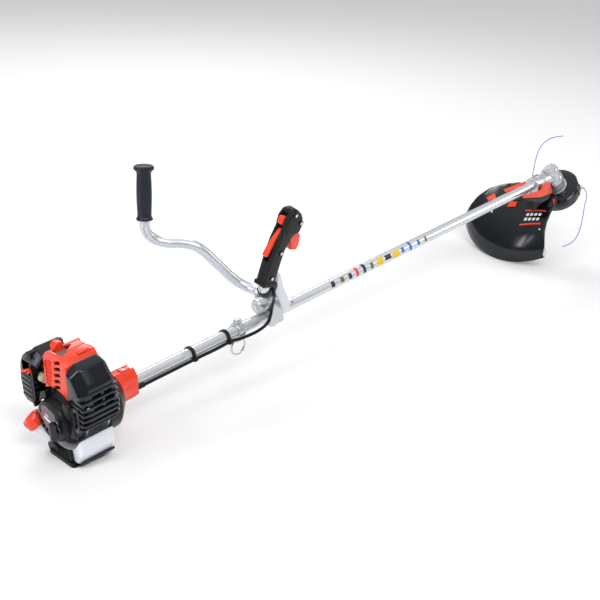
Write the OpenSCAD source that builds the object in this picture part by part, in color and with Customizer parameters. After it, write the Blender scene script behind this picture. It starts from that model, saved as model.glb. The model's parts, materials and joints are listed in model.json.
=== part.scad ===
// Petrol string trimmer with a handlebar, assembled from separate pieces.
// Everything is laid out in the shaft frame: the origin is where the tube
// leaves the clutch case, +X runs along the tube to the cutting head, +Y is
// the operator's left and +Z is up. place() then tips the whole machine so
// that the tank guard and the shield stand on z = 0.

/* [Shaft] */
// Outer diameter of the main tube
tube_d = 26; // [26:0.1:26.1]
// Wall of the main tube
tube_wall = 1.5; // [1:0.1:2]
// Diameter of the drive shaft inside the tube
drive_d = 8; // [7:0.2:8]
/* [Cutting head] */
// Diameter of the line spool housing
drum_d = 126; // [118:1:126]
// Diameter of the cutting line
line_d = 2.7; // [2.4:0.1:3]
// Radius of the shield's rim about its own centre
shield_r = 197; // [197:1:200]
/* [Handlebar] */
// Diameter of the handlebar tube
bar_d = 22; // [20:0.5:22]
// Diameter of the left grip
grip_d = 35; // [33:1:38]
/* [Engine] */
// Radius of the starter cover
starter_r = 58; // [56:0.5:60]
// Diameter of the fuel cap
cap_d = 42; // [40:1:43]
// Diameter of the cooling fan on the flywheel
fan_d = 112; // [96:1:116]
/* [Hidden] */
tau = 5.3;            // tip of the shaft when the machine stands on the floor
ox = -722.6;            // puts the origin under the middle of the machine
oy = -2.4;
oz = 106.7;
beta = 38;            // output axis from straight down, in the shaft frame
hx = 1500;            // where the output axis crosses the shaft axis
tr = tube_d/2;
ir = tr - tube_wall;
br = bar_d/2;
fit = 0.05;           // radial running clearance
gR = 30;              // bevel cone distance
np = 14;              // pinion teeth
ng = 19;              // gear teeth
shaft_ang = 90 - beta;
gg = atan(sin(shaft_ang)/(np/ng + cos(shaft_ang)));
gp = shaft_ang - gg;
gm = 2*gR*sin(gg)/ng; // bevel module at the large end
// Route of the handlebar tube, from the top of the left grip to the right one
hb = [[196,195,261],[190.7,191.2,232],[187.6,189.2,214],[188.6,188.2,203],[193,186,191.5],[201,181.5,181.5],[213,173,173],[229.5,160,168],
  [248,142,167],[266,123,161],[281,110.5,146],[299,102,122],[317,95,98],[335,87.5,74],[350,77,57],[361,61,47.5],[366,44,44.3],[367,28,44],[367,0,44],[367,-28,44],
  [362,-48,45],[350,-64,56],[330,-78,84],
  [304,-92,122],[286,-104,156],[258,-128,178],[228,-154,189],[204,-171,191],[183,-183,194],[171.5,-187.4,204],[172.8,-188.7,215.3],[177.4,-191,232.5],[181,-192.9,245.5]];
// Throttle cable, lower run (fixed to the shaft) and upper run (rides with the bar)
cab_lo = [[-36,-17,-6],[-10,-17,-6],[30,-17,-6],[80,-17,-6],[140,-17,-6],[190,-18,-6],
  [236,-17,-6],[262,-21,-8],[300,-24,-8],[324,-26,-3],[337,-27,5],[343,-27,16]];
cab_up = [[346,-27,31],[344,-33,45],[338,-44,66],[322,-60,90],[290,-84,112],[268,-100,142],[246,-122,160],[222,-150,170],[203,-178,176],
  [193,-193,184],[188.5,-196,196],[187.6,-196.5,209]];
// Cutting line from its eyelet, in the head's own frame (forward, left)
line_pt = [[-26,48],[-29,53],[-32,59],[-30,70],[-20,82],[-2,93],[24,101],[54,113],[86,124],[116,130],[142,127],[164,110],[178,84]];

module place() translate([ox,oy,oz]) rotate([0,-tau,0]) children();
module head() translate([hx,0,0]) rotate([0,180-beta,0]) children();
module cx(r,x0,x1) translate([x0,0,0]) rotate([0,90,0]) cylinder(r=r,h=x1-x0,$fn=64);
module cy(r,y0,y1) translate([0,y0,0]) rotate([-90,0,0]) cylinder(r=r,h=y1-y0,$fn=64);
module cz(r,z0,z1) translate([0,0,z0]) cylinder(r=r,h=z1-z0,$fn=64);
module box(a,b) translate(a) cube([b[0]-a[0],b[1]-a[1],b[2]-a[2]]);
module rod(p,q,r) { v=q-p; h=norm(v); translate(p) rotate([0,acos(v[2]/h),atan2(v[1],v[0])]) cylinder(r=r,h=h,$fn=48); }
module pipe(pts,r) for (i=[0:len(pts)-2]) { rod(pts[i],pts[i+1],r); if (i>0) translate(pts[i]) sphere(r=r,$fn=48); }
// revolve a list of [radius, x] about the shaft axis
module turn_x(p) rotate([0,90,0]) rotate_extrude($fn=96) polygon(p);
module turn_z(p) rotate_extrude($fn=96) polygon(p);
// extrude a (y,z) outline along x
module slab_x(p,x0,x1) translate([x0,0,0]) rotate([90,0,90]) linear_extrude(x1-x0) polygon(p);
// extrude an (x,z) outline along y
module slab_y(p,y0,y1) translate([0,y1,0]) rotate([90,0,0]) linear_extrude(y1-y0) polygon(p);

// --- swept tube: smooth curve through the route, rings carried along it ---
function unit(v) = v/norm(v);
function cr(p,i,t) = let(a=p[max(i-1,0)],b=p[i],c=p[i+1],d=p[min(i+2,len(p)-1)])
  0.5*((2*b)+(c-a)*t+(2*a-5*b+4*c-d)*t*t+(3*b-a-3*c+d)*t*t*t);
function dense(p,n) = concat([for (i=[0:len(p)-2]) for (j=[0:n-1]) cr(p,i,j/n)],[p[len(p)-1]]);
function tang(q,i) = unit(q[min(i+1,len(q)-1)]-q[max(i-1,0)]);
function carry(u,t) = unit(u-t*(u*t));
function frames(q,i,u) = i>=len(q) ? [] : let(t=tang(q,i),w=carry(u,t)) concat([[w,cross(t,w)]],frames(q,i+1,w));
module sweep(p,r,m,n) {
  q = dense(p,n);
  f = frames(q,0,abs(tang(q,0)[2])<0.9 ? [0,0,1] : [1,0,0]);
  k = len(q);
  pts = [for (i=[0:k-1]) for (j=[0:m-1]) q[i]+r*(cos(360*j/m)*f[i][0]+sin(360*j/m)*f[i][1])];
  side = [for (i=[0:k-2]) for (j=[0:m-1]) [i*m+j,i*m+(j+1)%m,(i+1)*m+(j+1)%m,(i+1)*m+j]];
  polyhedron(points=pts,faces=concat([[for (j=[m-1:-1:0]) j]],
    [for (s=side) [s[0],s[1],s[2]]],[for (s=side) [s[0],s[2],s[3]]],[[for (j=[0:m-1]) (k-1)*m+j]]),convexity=8);
}

// --- bevel tooth outline: involute of the equivalent spur gear ---
function inv(a) = tan(a)*180/PI - a;
function half(ne,re,rho,bl) = 90/ne - bl + inv(20) - inv(acos(min(1,re*cos(20)/rho)));
function tooth(n,g,rp) = let(ne=n/cos(g),re=rp/cos(g),add=0.72*gm,ded=0.95*gm,bl=4.4*19/n/2.2,
   rs=[for (k=[0:4]) max(re*cos(20)+0.01,re-ded)+(re+add-max(re*cos(20)+0.01,re-ded))*k/4])
   [for (k=[0:4]) let(h=half(ne,re,rs[k],bl)/cos(g)) [rp+(rs[k]-re)*cos(g),h]];
function gear_pts(n,g,rp) = let(t=tooth(n,g,rp)) [for (i=[0:n-1]) for (k=[0:9])
   let(q=k<5?t[k]:t[9-k],a=360*i/n+(k<5?-1:1)*q[1]) q[0]*[cos(a),sin(a)]];

// ---------------------------------------------------------------- engine
module crankcase() color("silver") place() difference() {
  union() {
    cx(38,-167,-113); cx(58,-167,-162); cx(60,-118,-113);
    box([-165,-26,20],[-117,26,42]);
  }
  cx(30,-155,-127); cx(12.05,-164,-118); cx(8,-170,-110);
  translate([-141,0,0]) cz(18.2,0,50);
  box([-170,-32,42.1],[-110,32,70]);
}
module cylinder_node() color("silver") place() difference() {
  union() {
    translate([-141,0,0]) { cz(23,42.2,118); for (i=[0:8]) box([-26,-25,48+8*i],[26,25,50.6+8*i]); }
    box([-158,-38,60],[-124,-20,86]);
    box([-156,20,62],[-126,33.8,88]);
  }
  translate([-141,0,0]) { cz(17.5,40,106); cz(5.05,105,130); }
  translate([-141,-50,73]) cy(9,0,36);
  translate([-141,14,75]) cy(8,0,22);
}
module clutch_case() color([0.93,0.27,0.17]) place() difference() {
  union() {
    turn_x([[5,-15],[21,-15],[23,-17],[24,-30],[27,-52],[40,-62],[62,-84],[64,-88],[64,-112.8],[5,-112.8]]);
    box([-60,-15,-26],[-18,10,-8]);
    box([-58,-12,16],[-20,12,37]);
  }
  turn_x([[0,-113.5],[60,-113.5],[60,-90],[56,-86],[34,-70],[34,-64],[15.05,-64],[15.05,-42],[6,-42],[6,-38],[0,-38]]);
  cx(tr+fit,-38,1);
  translate([-34,0,0]) cz(2.6,20,40);
  translate([0,-17,-6]) cx(3.8,-36,-10);
  translate([-36,-30,0]) box([-60,0,30],[12,50,60]);
}
module starter_cover() color([0.08,0.08,0.09]) place() difference() {
  union() {
    turn_x([[0,-208],[37,-208],[42,-203],[44,-187],[starter_r-4,-182],[starter_r,-178],[starter_r,-167.2],[starter_r-3,-167.2],
      [starter_r-3,-177],[41,-184.5],[39.5,-202],[36,-205],[0,-205]]);
    cx(5,-206,-187);
  }
  for (a=[20:20:160]) rotate([a-90,0,0]) translate([-213,0,0]) box([0,-2.3,-33],[9.4,2.3,-20]);
  translate([0,-31,0]) cx(3,-213,-200);
  rod(cap_p-14*cap_u,cap_p+14*cap_u,cap_d/2+0.8);
}
module engine_cover() color([0.93,0.27,0.17]) place() difference() {
  union() {
    slab_x([[-40,50],[-40,124],[-30,134],[-10,140],[8,140],[24,133],[33,121],[36,50],[24,48]],-186,-113);
    box([-170,-4,132],[-152,8,151]);
  }
  slab_x([[-37,30],[-37,122.5],[-28,131],[-9,136.8],[7,136.8],[22,130.4],[30,120],[33,30]],-182.5,-110);
  cx(starter_r+5,-214,-100);
  box([-180,-50,52],[-118,-36,100]);
  box([-162,25,52],[-120,40,98]);
  for (i=[0:4]) box([-190,-20,62+14*i],[-180,-3,69+14*i]);
  box([-180,-30,128],[-152,-6,152]);
  translate([-122,0,141]) rotate([0,24,0]) box([0,-60,0],[30,60,30]);
}
module muffler() color([0.55,0.55,0.57]) place() difference() {
  union() { box([-160,-78,34],[-122,-46,92]); box([-156,-46,62],[-126,-38.1,84]); }
  box([-157,-75,37],[-125,-49,89]);
  translate([-141,-60,73]) cy(9,0,30);
  translate([-141,-84,46]) cy(7,0,10);
}
module muffler_cover() color([0.1,0.11,0.13]) place() difference() {
  slab_x([[-43,131],[-64,125],[-85,94],[-92,54],[-88,18],[-73,0],[-43,-4]],-191,-112);
  slab_x([[-30,128],[-62,122],[-82,93],[-89,54],[-85,20],[-72,3],[-30,0]],-188,-115);
  cx(starter_r+5.5,-214,-100); cx(64.4,-114,-100);
  for (i=[0:3]) box([-180,-99,24+11*i],[-122,-82,30+11*i]);
  for (i=[0:4]) box([-176+12*i,-99,100],[-171+12*i,-66,140]);
}
module carburetor() color([0.75,0.75,0.76]) place() difference() {
  union() {
    box([-170,36,58],[-128,60,92]); translate([-141,34.2,75]) cy(14,0,2);
    translate([0,48,66]) cx(11,-184,-169); translate([-141,0,75]) cy(13,59,61.8);
    translate([-150,48,0]) cz(3,90,101);
  }
  translate([-141,30,75]) cy(8,0,40);
  translate([0,48,66]) cx(8.6,-185,-172);
}
module air_cleaner_base() color([0.1,0.1,0.11]) place() difference() {
  union() { box([-195,62,8],[-120,70,118]); translate([0,66,80]) cx(2.5,-204,-190); }
  cx(66,-214,-100); translate([-141,50,75]) cy(10,0,30);
}
module air_filter() color([0.75,0.7,0.5]) place() difference() {
  box([-186,70.2,20],[-127,86,94]); translate([-141,60,75]) cy(14,0,18);
}
module air_cleaner_cover() color([0.1,0.11,0.13]) place() difference() {
  slab_x([[70.2,3],[92,2],[102,10],[105,48],[99,84],[88,104],[70.2,120]],-196,-118);
  slab_x([[60,6],[90,5],[99,12],[102,48],[96,82],[85,101],[60,118]],-193,-121);
  box([-200,60,64],[-192,93,94]);
}
module spark_plug() color([0.85,0.85,0.85]) place() translate([-141,0,0]) {
  cz(5,109,118); cz(10,118.1,122); cz(6,122,134);
}
module fuel_tank() color([0.88,0.9,0.95]) place() difference() {
  union() {
    slab_x([[-60,-24],[-62,-60],[-52,-81],[-44,-85.6],[44,-85.6],[52,-81],[62,-60],[60,-24]],-188,-108);
    difference() { rod([-170,22,-72],cap_p-6*cap_u,15); cx(76,-300,-188.2); }
    rod(cap_p-46*cap_u,cap_p-0*cap_u,15);
  }
  cx(65.5,-220,-90);
  rod([-190,41,-50],[-209,62,-19],11);
}
module tank_guard() color([0.07,0.07,0.08]) union() {
  place() difference() {
    slab_x([[-44,-36],[-46,-78],[-40,-86],[36,-86],[40,-76],[24,-36],[0,-34]],-196,-188.3);
    cx(65.5,-220,-90);
    rod([-170,22,-72],cap_p-6*cap_u,15.6);
    rod(cap_p-60*cap_u,cap_p,15.6);
  }
  // flat foot in the floor plane
  translate([ox-190,oy-47,0]) cube([76,80,3]);
  difference() {
    translate([ox-190,oy-44,0]) cube([8,74,12]);
    place() box([-188.2,-70,-86.8],[-100,70,0]);
    place() rod([-170,22,-72],cap_p-6*cap_u,15.6);
  }
}
module cover_screws() color([0.8,0.8,0.8]) place() {
  for (a=[-65,0,65]) rotate([a,0,0]) translate([0,0,31]) cx(2.6,-210.6,-208.1);
  for (x=[-182,-119]) translate([x,-92,60]) cy(3.2,-2.4,-0.2);
}
// ---------------------------------------------------------------- shaft
module shaft_tube() color([0.9,0.91,0.93]) place() difference() { cx(tr,-35,1436); cx(ir,-36,1440); }
module shaft_bushes() color([0.25,0.25,0.27]) place() for (x=[60,360,660,960,1260])
  difference() { cx(ir-0.02,x,x+20); cx(drive_d/2+0.1,x-1,x+21); }
module hanger_clamp() color([0.15,0.15,0.16]) place() difference() {
  union() { cx(18,262,280); box([265,-5,-28],[277,5,-14]); box([262,-5,15],[280,5,27]); }
  cx(tr+0.02,255,300);
  translate([0,0,-21]) cx(4.3,255,290);
}
module cable_clips() color([0.1,0.1,0.1]) place() for (x=[136,233])
  difference() { union() { cx(16,x-4,x+4); translate([0,-17,-6]) cx(6,x-4,x+4); }
    cx(tr+0.02,x-6,x+6); translate([0,-17,-6]) cx(4,x-6,x+6); }
module handle_bracket() color([0.72,0.73,0.75]) place() difference() {
  union() { box([350,-20,-18],[392,20,43.4]); box([378,-26,-30],[392,-14,30]); }
  cx(tr+0.02,340,420);
  translate([367,-60,44]) cy(br+0.45,0,120);
  for (y=[-17,17]) translate([0,y,0]) translate([356,0,0]) cz(2,-31,-14);
}
module bracket_clamp() color([0.72,0.73,0.75]) place() difference() {
  box([350,-20,44.6],[392,20,61]); translate([367,-60,44]) cy(br+0.45,0,120);
  translate([385.5,0,0]) cz(3.4,40,74);
}
module bracket_cap() color([0.8,0.81,0.83]) place() difference() {
  translate([0,0,34]) cx(16.5,322,349.8);
  translate([0,0,34]) cx(5,321,330);
}
module clamp_bolts() color([0.55,0.55,0.57]) place() {
  translate([0,0,34]) cx(4.8,324,330);
  for (y=[-14,14]) translate([354,y,0]) cz(3.4,61.1,65);
  translate([0,0,-26]) for (x=[1406,1424]) translate([x,-24,0]) cy(3,0,5.5);
}
// ---------------------------------------------------------------- head, fixed pieces
module gear_case() color([0.78,0.79,0.81]) place() difference() {
  union() {
    cx(19,1396,1480);
    cx(22,1398,1432);
    box([1398,-18,-34],[1432,18,0]);
    head() { cz(27,6,33); cz(22.5,-34,10); cz(17,-42,-30); }
    translate([1474,0,0]) sphere(r=23,$fn=64);
  }
  cx(tr+fit,1390,1438);
  cx(12.05,1437,1470); cx(15,1468,1490);
  head() {
    cz(18.2,-30.5,-3); cz(11.05,-38,-28); cz(5.6,-4,12); cz(14.05,11.5,36); cz(9,-8,12);
  }
  box([1395,-3,-40],[1433,3,-8]);
}
module ball_bearings() color([0.6,0.6,0.62]) place() {
  for (x=[1441,1454]) turn_x([[drive_d/2+0.06,x],[12,x],[12,x+10],[drive_d/2+0.06,x+10]]);
  head() { turn_z([[5.06,-37.5],[11,-37.5],[11,-31],[5.06,-31]]); turn_z([[5.06,12],[14,12],[14,23],[5.06,23]]); }
  turn_x([[5.06,-163.5],[12,-163.5],[12,-156.5],[5.06,-156.5]]);
  turn_x([[5.06,-126],[12,-126],[12,-119],[5.06,-119]]);
  for (x=[-63.5,-52.8]) turn_x([[6.06,x],[15,x],[15,x+10],[6.06,x+10]]);
}
// shield: a shallow dome about its own centre, cut to its outline
module shield() color([0.06,0.06,0.07]) place() difference() {
  head() intersection() {
    translate([62,68,0]) turn_z([[0,27],[60,30],[112,38],[152,52],[180,70],[shield_r,93],[shield_r-3,94],[177,73],
      [150,55.4],[111,41.2],[60,33.2],[0,30.2]]);
    linear_extrude(120) polygon([[30,30],[40,96],[62,136],[84,170],[112,196],[160,206],[176,240],[300,240],[320,60],[300,-120],
      [226,-62],[203,-62],[174,-58],[134,-46],[94,-37],[44,-32]]);
  }
  // clearance round the gear case
  head() cz(30,-60,60);
}
module shield_bracket() color([0.93,0.27,0.12]) place() difference() {
  slab_y([[1398,-19],[1440,-19],[1440,-12],[1478,-12],[1494,-28],[1476,-48],[1440,-62],[1398,-74]],-14,14);
  cx(tr+0.02,1340,1397);
  cx(22.2,1395.5,1440);
  cx(19.2,1430,1500);
  box([1395,-19,-36],[1434,19,0]);
  translate([1474,0,0]) sphere(r=23.3,$fn=64);
  head() cz(27.3,-60,60);
  head() translate([62,68,0]) turn_z([[0,26.8],[60,29.8],[112,37.8],[152,51.8],[180,69.8],[240,90],[240,140],[0,140]]);
}
module line_cutter() color([0.75,0.75,0.77]) place() head() rotate([0,0,-19]) box([199,-2.4,66],[222,-0.2,86]);
// ---------------------------------------------------------------- rotating pieces
module crankshaft() color([0.6,0.6,0.62]) place() difference() {
  union() {
    cx(5,-172,-155); cx(5,-127,-94);
    for (x=[-154,-135]) difference() { cx(28,x,x+7); translate([0,0,20]) box([x-1,-40,4],[x+8,40,30]); }
    translate([0,0,14]) cx(6,-148,-134);
  }
}
module flywheel() color([0.7,0.7,0.72]) place() difference() {
  union() { cx(46,-110.5,-104); cx(12,-104,-95); for (a=[0:30:330]) rotate([a,0,0]) box([-104,-1.5,30],[-96,1.5,fan_d/2]);
    cx(fan_d/2,-110.5,-108); }
  cx(5,-120,-80);
}
module clutch_rotor() color([0.5,0.42,0.35]) place() difference() {
  union() { for (a=[0,180]) rotate([a,0,0]) difference() { cx(27,-86,-72); box([-90,-40,-40],[-70,40,6]); } cx(9,-95,-72); }
  cx(5,-99,-94); for (y=[-17,17]) translate([0,y,0]) cx(2.5,-90,-70);
}
module clutch_drum() color([0.62,0.62,0.64]) place() difference() {
  union() { turn_x([[0,-66.2],[31,-66.2],[31,-88],[28.6,-88],[28.6,-69],[0,-69]]); cx(6,-67,-41); }
  cx(drive_d/2,-63,-30);
}
module drive_shaft() color([0.66,0.66,0.68]) place() cx(drive_d/2,-62,1466);
module pinion_gear() color([0.7,0.66,0.55]) place() difference() {
  d = gR*cos(gp);
  translate([hx-d-0.7,0,0]) rotate([0,90,0]) union() {
    rotate([0,0,90]) linear_extrude(9,scale=(d-9)/d) polygon(gear_pts(np,gp,gR*sin(gp)));
    translate([0,0,-1.7]) cylinder(r=8,h=1.7,$fn=48);
  }
  cx(drive_d/2,1460,1466.01);
}
module output_shaft() color([0.62,0.62,0.64]) place() head() { cz(5,-37.4,107); }
module bevel_gear() color([0.7,0.66,0.55]) place() difference() {
  d = gR*cos(gg);
  head() translate([0,0,-d]) union() {
    linear_extrude(8,scale=(d-8)/d) polygon(gear_pts(ng,gg,gR*sin(gg)));
    translate([0,0,-3]) cylinder(r=9,h=3,$fn=48);
  }
  head() cz(5,-60,0);
}
module holder_plate() color([0.78,0.79,0.81]) place() head() difference() {
  turn_z([[5,35],[29,35],[29,44],[31,46],[31,50],[5,50]]); cz(5,30,60); cz(0.1,30,31);
}
module head_housing() color([0.05,0.05,0.06]) place() head() difference() {
  turn_z([[5,50.1],[44,50.1],[drum_d/2-4,54],[drum_d/2,60],[drum_d/2,86],[drum_d/2-5,91],[47,93],[46,99],[40,101],[34.5,101],[34.5,98],
    [43,97],[44,90],[drum_d/2-6,88],[drum_d/2-3,84],[drum_d/2-3,62],[drum_d/2-7,57],[44,54],[5,54]]);
  cz(5,40,60);
  for (a=[0,180]) rotate([0,0,a]) rod([16,36,73],[36,66,73],5);
}
module line_eyelets() color([0.7,0.7,0.72]) place() head() for (a=[0,180]) rotate([0,0,a])
  difference() { rod([28.5,54,73],[33,61.4,73],4.6); rod([20,42,73],[40,70,73],3.2); }
module line_one() sweep([for (p=line_pt) [-p[0],p[1],73]],line_d/2,8,3);
module cutting_lines() color([0.74,0.77,0.9]) place() head() { line_one(); rotate([0,0,180]) line_one(); }
module line_spool() color([0.35,0.35,0.37]) place() head() difference() {
  turn_z([[6,62],[50,62],[50,64.5],[26,64.5],[26,81],[50,81],[50,83.5],[6,83.5]]);
  cz(5.1,50,90);
}
module bump_knob() color([0.08,0.08,0.09]) place() head() difference() {
  turn_z([[0,121],[20,120],[31,115],[34,108],[34,94.5],[31,94.5],[31,106],[26,112],[12,114.5],[12,90],[5.2,90],[5.2,114.5],[0,114.5]]);
}
// ---------------------------------------------------------------- handlebar
module handlebar_tube() color([0.82,0.83,0.85]) place() sweep(hb,br,14,2);
module lgrip() translate([189,190,222]) rotate([-7,9.4,0]) children();
module left_grip() color([0.12,0.13,0.15]) place() difference() {
  lgrip() turn_z([[0,3],[grip_d/2-1,3],[grip_d/2,5],[grip_d/2,7],[grip_d/2-2,11],[grip_d/2-1.5,46],[grip_d/2-1.5,62],[grip_d/2-2.5,103],[grip_d/2+3.7,110.5],[grip_d/2+4.3,113.5],[grip_d/2-1,119.5],[0,119.5]]);
  lgrip() cz(br+0.5,-12,45);
}
module rgrip() translate([186,-190,222]) rotate([7.63,15.15,0]) children();
module housing_solid() rgrip() difference() {
  union() {
    slab_y([[-27,-10],[2.5,-10],[2.5,40],[4,66],[14,92],[27,100],[30,118],[23,137],[6,148],[-8,146],[-17,130],[-18,108],[-24,84],[-27,50]],-12.5,12.5);
    slab_y([[8,96],[25,101],[28,118],[22,134],[5,146],[-7,144],[-15,130],[-15,110],[-6,98]],-16,16);
  }
  slab_y([[-2,80],[-2,107],[24,107],[56,99],[56,40],[14,40],[3,62]],-5.8,5.8);
  slab_y([[-60,40],[-20,40],[-15,60],[-5,92],[-5,111],[-16,112],[-60,112]],-5.8,5.8);
  box([-30,-6.3,113],[-9,6.3,139]);
}
module throttle_housing_left() color([0.07,0.07,0.08]) place() difference() {
  union() {
    intersection() { housing_solid(); rgrip() box([-60,0.05,-30],[60,40,170]); }
    rgrip() { translate([8,-9,97]) cy(2,0,10); translate([-11,-9,102]) cy(2,0,10); }
  }
  rgrip() translate([-11,0,0]) cz(br+0.5,-30,25);
}
module throttle_housing_right() color([0.07,0.07,0.08]) place() difference() {
  intersection() { housing_solid(); rgrip() box([-60,-40,-30],[60,-0.05,170]); }
  rgrip() translate([-11,0,0]) cz(br+0.5,-30,25);
  rgrip() { translate([8,-9.5,97]) cy(2.02,0,10); translate([-11,-9.5,102]) cy(2.02,0,10); }
}
module housing_screws() color([0.85,0.85,0.86]) place() rgrip() {
  for (p=[[0,138],[20,122]]) translate([p[0],-18,p[1]]) cy(3.2,0,1.9);
  translate([-6,-14.5,60]) cy(3.2,0,1.9); translate([-11,-14.5,8]) cy(3.2,0,1.9);
}
module throttle_trigger() color([0.93,0.27,0.17]) place() rgrip() difference() {
  slab_y([[3.5,92],[4,100],[8,102],[24,98],[38,95],[43,84],[45,64],[38,61],[25,62],[21,76],[15,86]],-5,5);
  translate([8,-9,97]) cy(2.06,0,20);
}
module lockout_lever() color([0.93,0.35,0.15]) place() rgrip() difference() {
  slab_y([[-8,98],[-7,105],[-14,107],[-29,80],[-38,54],[-35,50],[-31,52],[-26,68],[-17,90]],-5,5);
  translate([-11,-9,102]) cy(2.06,0,20);
}
module stop_switch() color([0.93,0.35,0.15]) place() rgrip() slab_y([[-10,114.5],[-20,115.5],[-23,120],[-22,128],[-18,131.5],[-10,131.5]],-5.5,5.5);
// ---------------------------------------------------------------- small movers
module clamp_knob() color([0.93,0.93,0.92]) place() translate([385.5,0,0]) { cz(3.1,45,62); cz(6.4,62,74); box([-3,-17,66],[3,17,80]); }
module hanger_ring() color([0.75,0.75,0.77]) place() translate([271,0,-40]) rotate([90,0,0])
  rotate_extrude($fn=96) translate([19,0]) circle(r=2.4,$fn=40);
cap_p = [-207,60,-22]; cap_u = [-0.4596,0.4963,0.7353];
module fuel_cap() color([0.93,0.27,0.17]) place() difference() {
  rod(cap_p-11*cap_u,cap_p+9*cap_u,cap_d/2);
  rod(cap_p-12*cap_u,cap_p+6*cap_u,16.4);
}
module choke_lever() color([0.9,0.2,0.15]) place() difference() {
  union() { translate([0,66,80]) cx(5.5,-203,-197.4); rod([-200,70,79],[-200,84,73],2.6); translate([-200,86,72]) sphere(r=4.2,$fn=32); }
  translate([0,66,80]) cx(2.56,-210,-190);
}
module primer_bulb() color([0.85,0.82,0.75]) place() translate([0,48,66]) { cx(8.2,-184,-178); translate([-184,0,0]) sphere(r=7.6,$fn=40); }
module starter_pulley() color([0.2,0.2,0.22]) place() difference() {
  turn_x([[5.06,-199],[36,-199],[36,-197.5],[30,-197.5],[30,-192.5],[36,-192.5],[36,-191],[5.06,-191]]);
  cx(5.06,-200,-190);
}
module starter_handle() color([0.05,0.05,0.06]) place() translate([-221,-31,0]) { cz(8,-13,13); for (z=[-13,13]) translate([0,0,z]) sphere(r=8,$fn=40); cx(6,0,9); }
module starter_rope() color([0.85,0.85,0.85]) place() translate([0,-31,0]) cx(1.6,-211.9,-199.3);
// ---------------------------------------------------------------- cables
module throttle_cable() color([0.08,0.08,0.09]) place() sweep(cab_lo,3.6,8,3);
module upper_cable() color([0.08,0.08,0.09]) place() sweep(cab_up,3.6,8,3);

crankcase();
cylinder_node();  // cylinder
clutch_case();
starter_cover();
engine_cover();
muffler();
muffler_cover();
carburetor();
air_cleaner_base();
air_filter();
air_cleaner_cover();
spark_plug();
fuel_tank();
tank_guard();
cover_screws();
shaft_tube();
shaft_bushes();
hanger_clamp();
cable_clips();
handle_bracket();
bracket_clamp();
bracket_cap();
clamp_bolts();
gear_case();
ball_bearings();
shield();
shield_bracket();
line_cutter();
throttle_cable();
crankshaft();
flywheel();
clutch_rotor();
clutch_drum();
drive_shaft();
pinion_gear();
output_shaft();
bevel_gear();
holder_plate();
head_housing();
line_eyelets();
cutting_lines();
line_spool();
bump_knob();
handlebar_tube();
left_grip();
throttle_housing_left();
throttle_housing_right();
housing_screws();
upper_cable();
throttle_trigger();
lockout_lever();
stop_switch();
clamp_knob();
hanger_ring();
fuel_cap();
choke_lever();
primer_bulb();
starter_pulley();
starter_handle();
starter_rope();
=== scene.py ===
"""Looks for the string trimmer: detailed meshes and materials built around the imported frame."""
import json
import math

import bmesh
import bpy
from mathutils import Matrix, Vector

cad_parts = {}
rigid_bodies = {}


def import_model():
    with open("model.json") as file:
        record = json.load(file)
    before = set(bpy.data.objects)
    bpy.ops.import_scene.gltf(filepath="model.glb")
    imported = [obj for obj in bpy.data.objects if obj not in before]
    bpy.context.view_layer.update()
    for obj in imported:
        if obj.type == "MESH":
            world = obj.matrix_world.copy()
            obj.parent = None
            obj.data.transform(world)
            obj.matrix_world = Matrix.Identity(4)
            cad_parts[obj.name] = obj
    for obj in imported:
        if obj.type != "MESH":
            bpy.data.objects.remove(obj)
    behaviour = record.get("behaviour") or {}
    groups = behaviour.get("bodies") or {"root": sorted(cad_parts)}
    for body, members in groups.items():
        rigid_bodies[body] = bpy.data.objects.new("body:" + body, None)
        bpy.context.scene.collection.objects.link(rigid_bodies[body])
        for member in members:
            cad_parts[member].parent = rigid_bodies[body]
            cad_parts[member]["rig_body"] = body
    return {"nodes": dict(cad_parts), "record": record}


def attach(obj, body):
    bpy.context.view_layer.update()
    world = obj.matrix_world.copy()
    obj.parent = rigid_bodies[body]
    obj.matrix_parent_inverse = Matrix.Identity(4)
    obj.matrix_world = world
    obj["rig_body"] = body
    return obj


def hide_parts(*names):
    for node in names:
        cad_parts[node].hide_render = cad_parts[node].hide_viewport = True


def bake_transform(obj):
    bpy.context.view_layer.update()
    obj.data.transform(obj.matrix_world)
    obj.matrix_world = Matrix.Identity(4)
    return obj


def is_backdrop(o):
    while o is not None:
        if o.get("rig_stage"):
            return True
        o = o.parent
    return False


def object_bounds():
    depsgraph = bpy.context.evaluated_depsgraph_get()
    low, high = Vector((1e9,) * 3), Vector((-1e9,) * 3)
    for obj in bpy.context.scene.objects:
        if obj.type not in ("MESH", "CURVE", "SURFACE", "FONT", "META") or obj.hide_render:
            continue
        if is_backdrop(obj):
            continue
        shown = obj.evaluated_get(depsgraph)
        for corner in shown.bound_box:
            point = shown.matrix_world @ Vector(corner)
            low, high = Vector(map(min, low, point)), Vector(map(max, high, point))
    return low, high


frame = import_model()
cad_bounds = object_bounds()
scene = bpy.context.scene

TAU = math.radians(5.3)
S = Matrix.Translation((-0.7226, -0.0024, 0.1067)) @ Matrix.Rotation(-TAU, 4, "Y") @ Matrix.Scale(0.001, 4)
ROW = Matrix.Scale(0.001, 4)
HEAD = S @ Matrix.Translation((1500, 0, 0)) @ Matrix.Rotation(math.radians(142), 4, "Y")
LGRIP = S @ Matrix.Translation((189, 190, 222)) @ Matrix.Rotation(math.radians(9.4), 4, "Y") @ Matrix.Rotation(math.radians(-7), 4, "X")
RGRIP = S @ Matrix.Translation((186, -190, 222)) @ Matrix.Rotation(math.radians(15.15), 4, "Y") @ Matrix.Rotation(math.radians(7.63), 4, "X")
XAX = Matrix.Rotation(math.radians(90), 4, "Y")          # local z -> x


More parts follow.
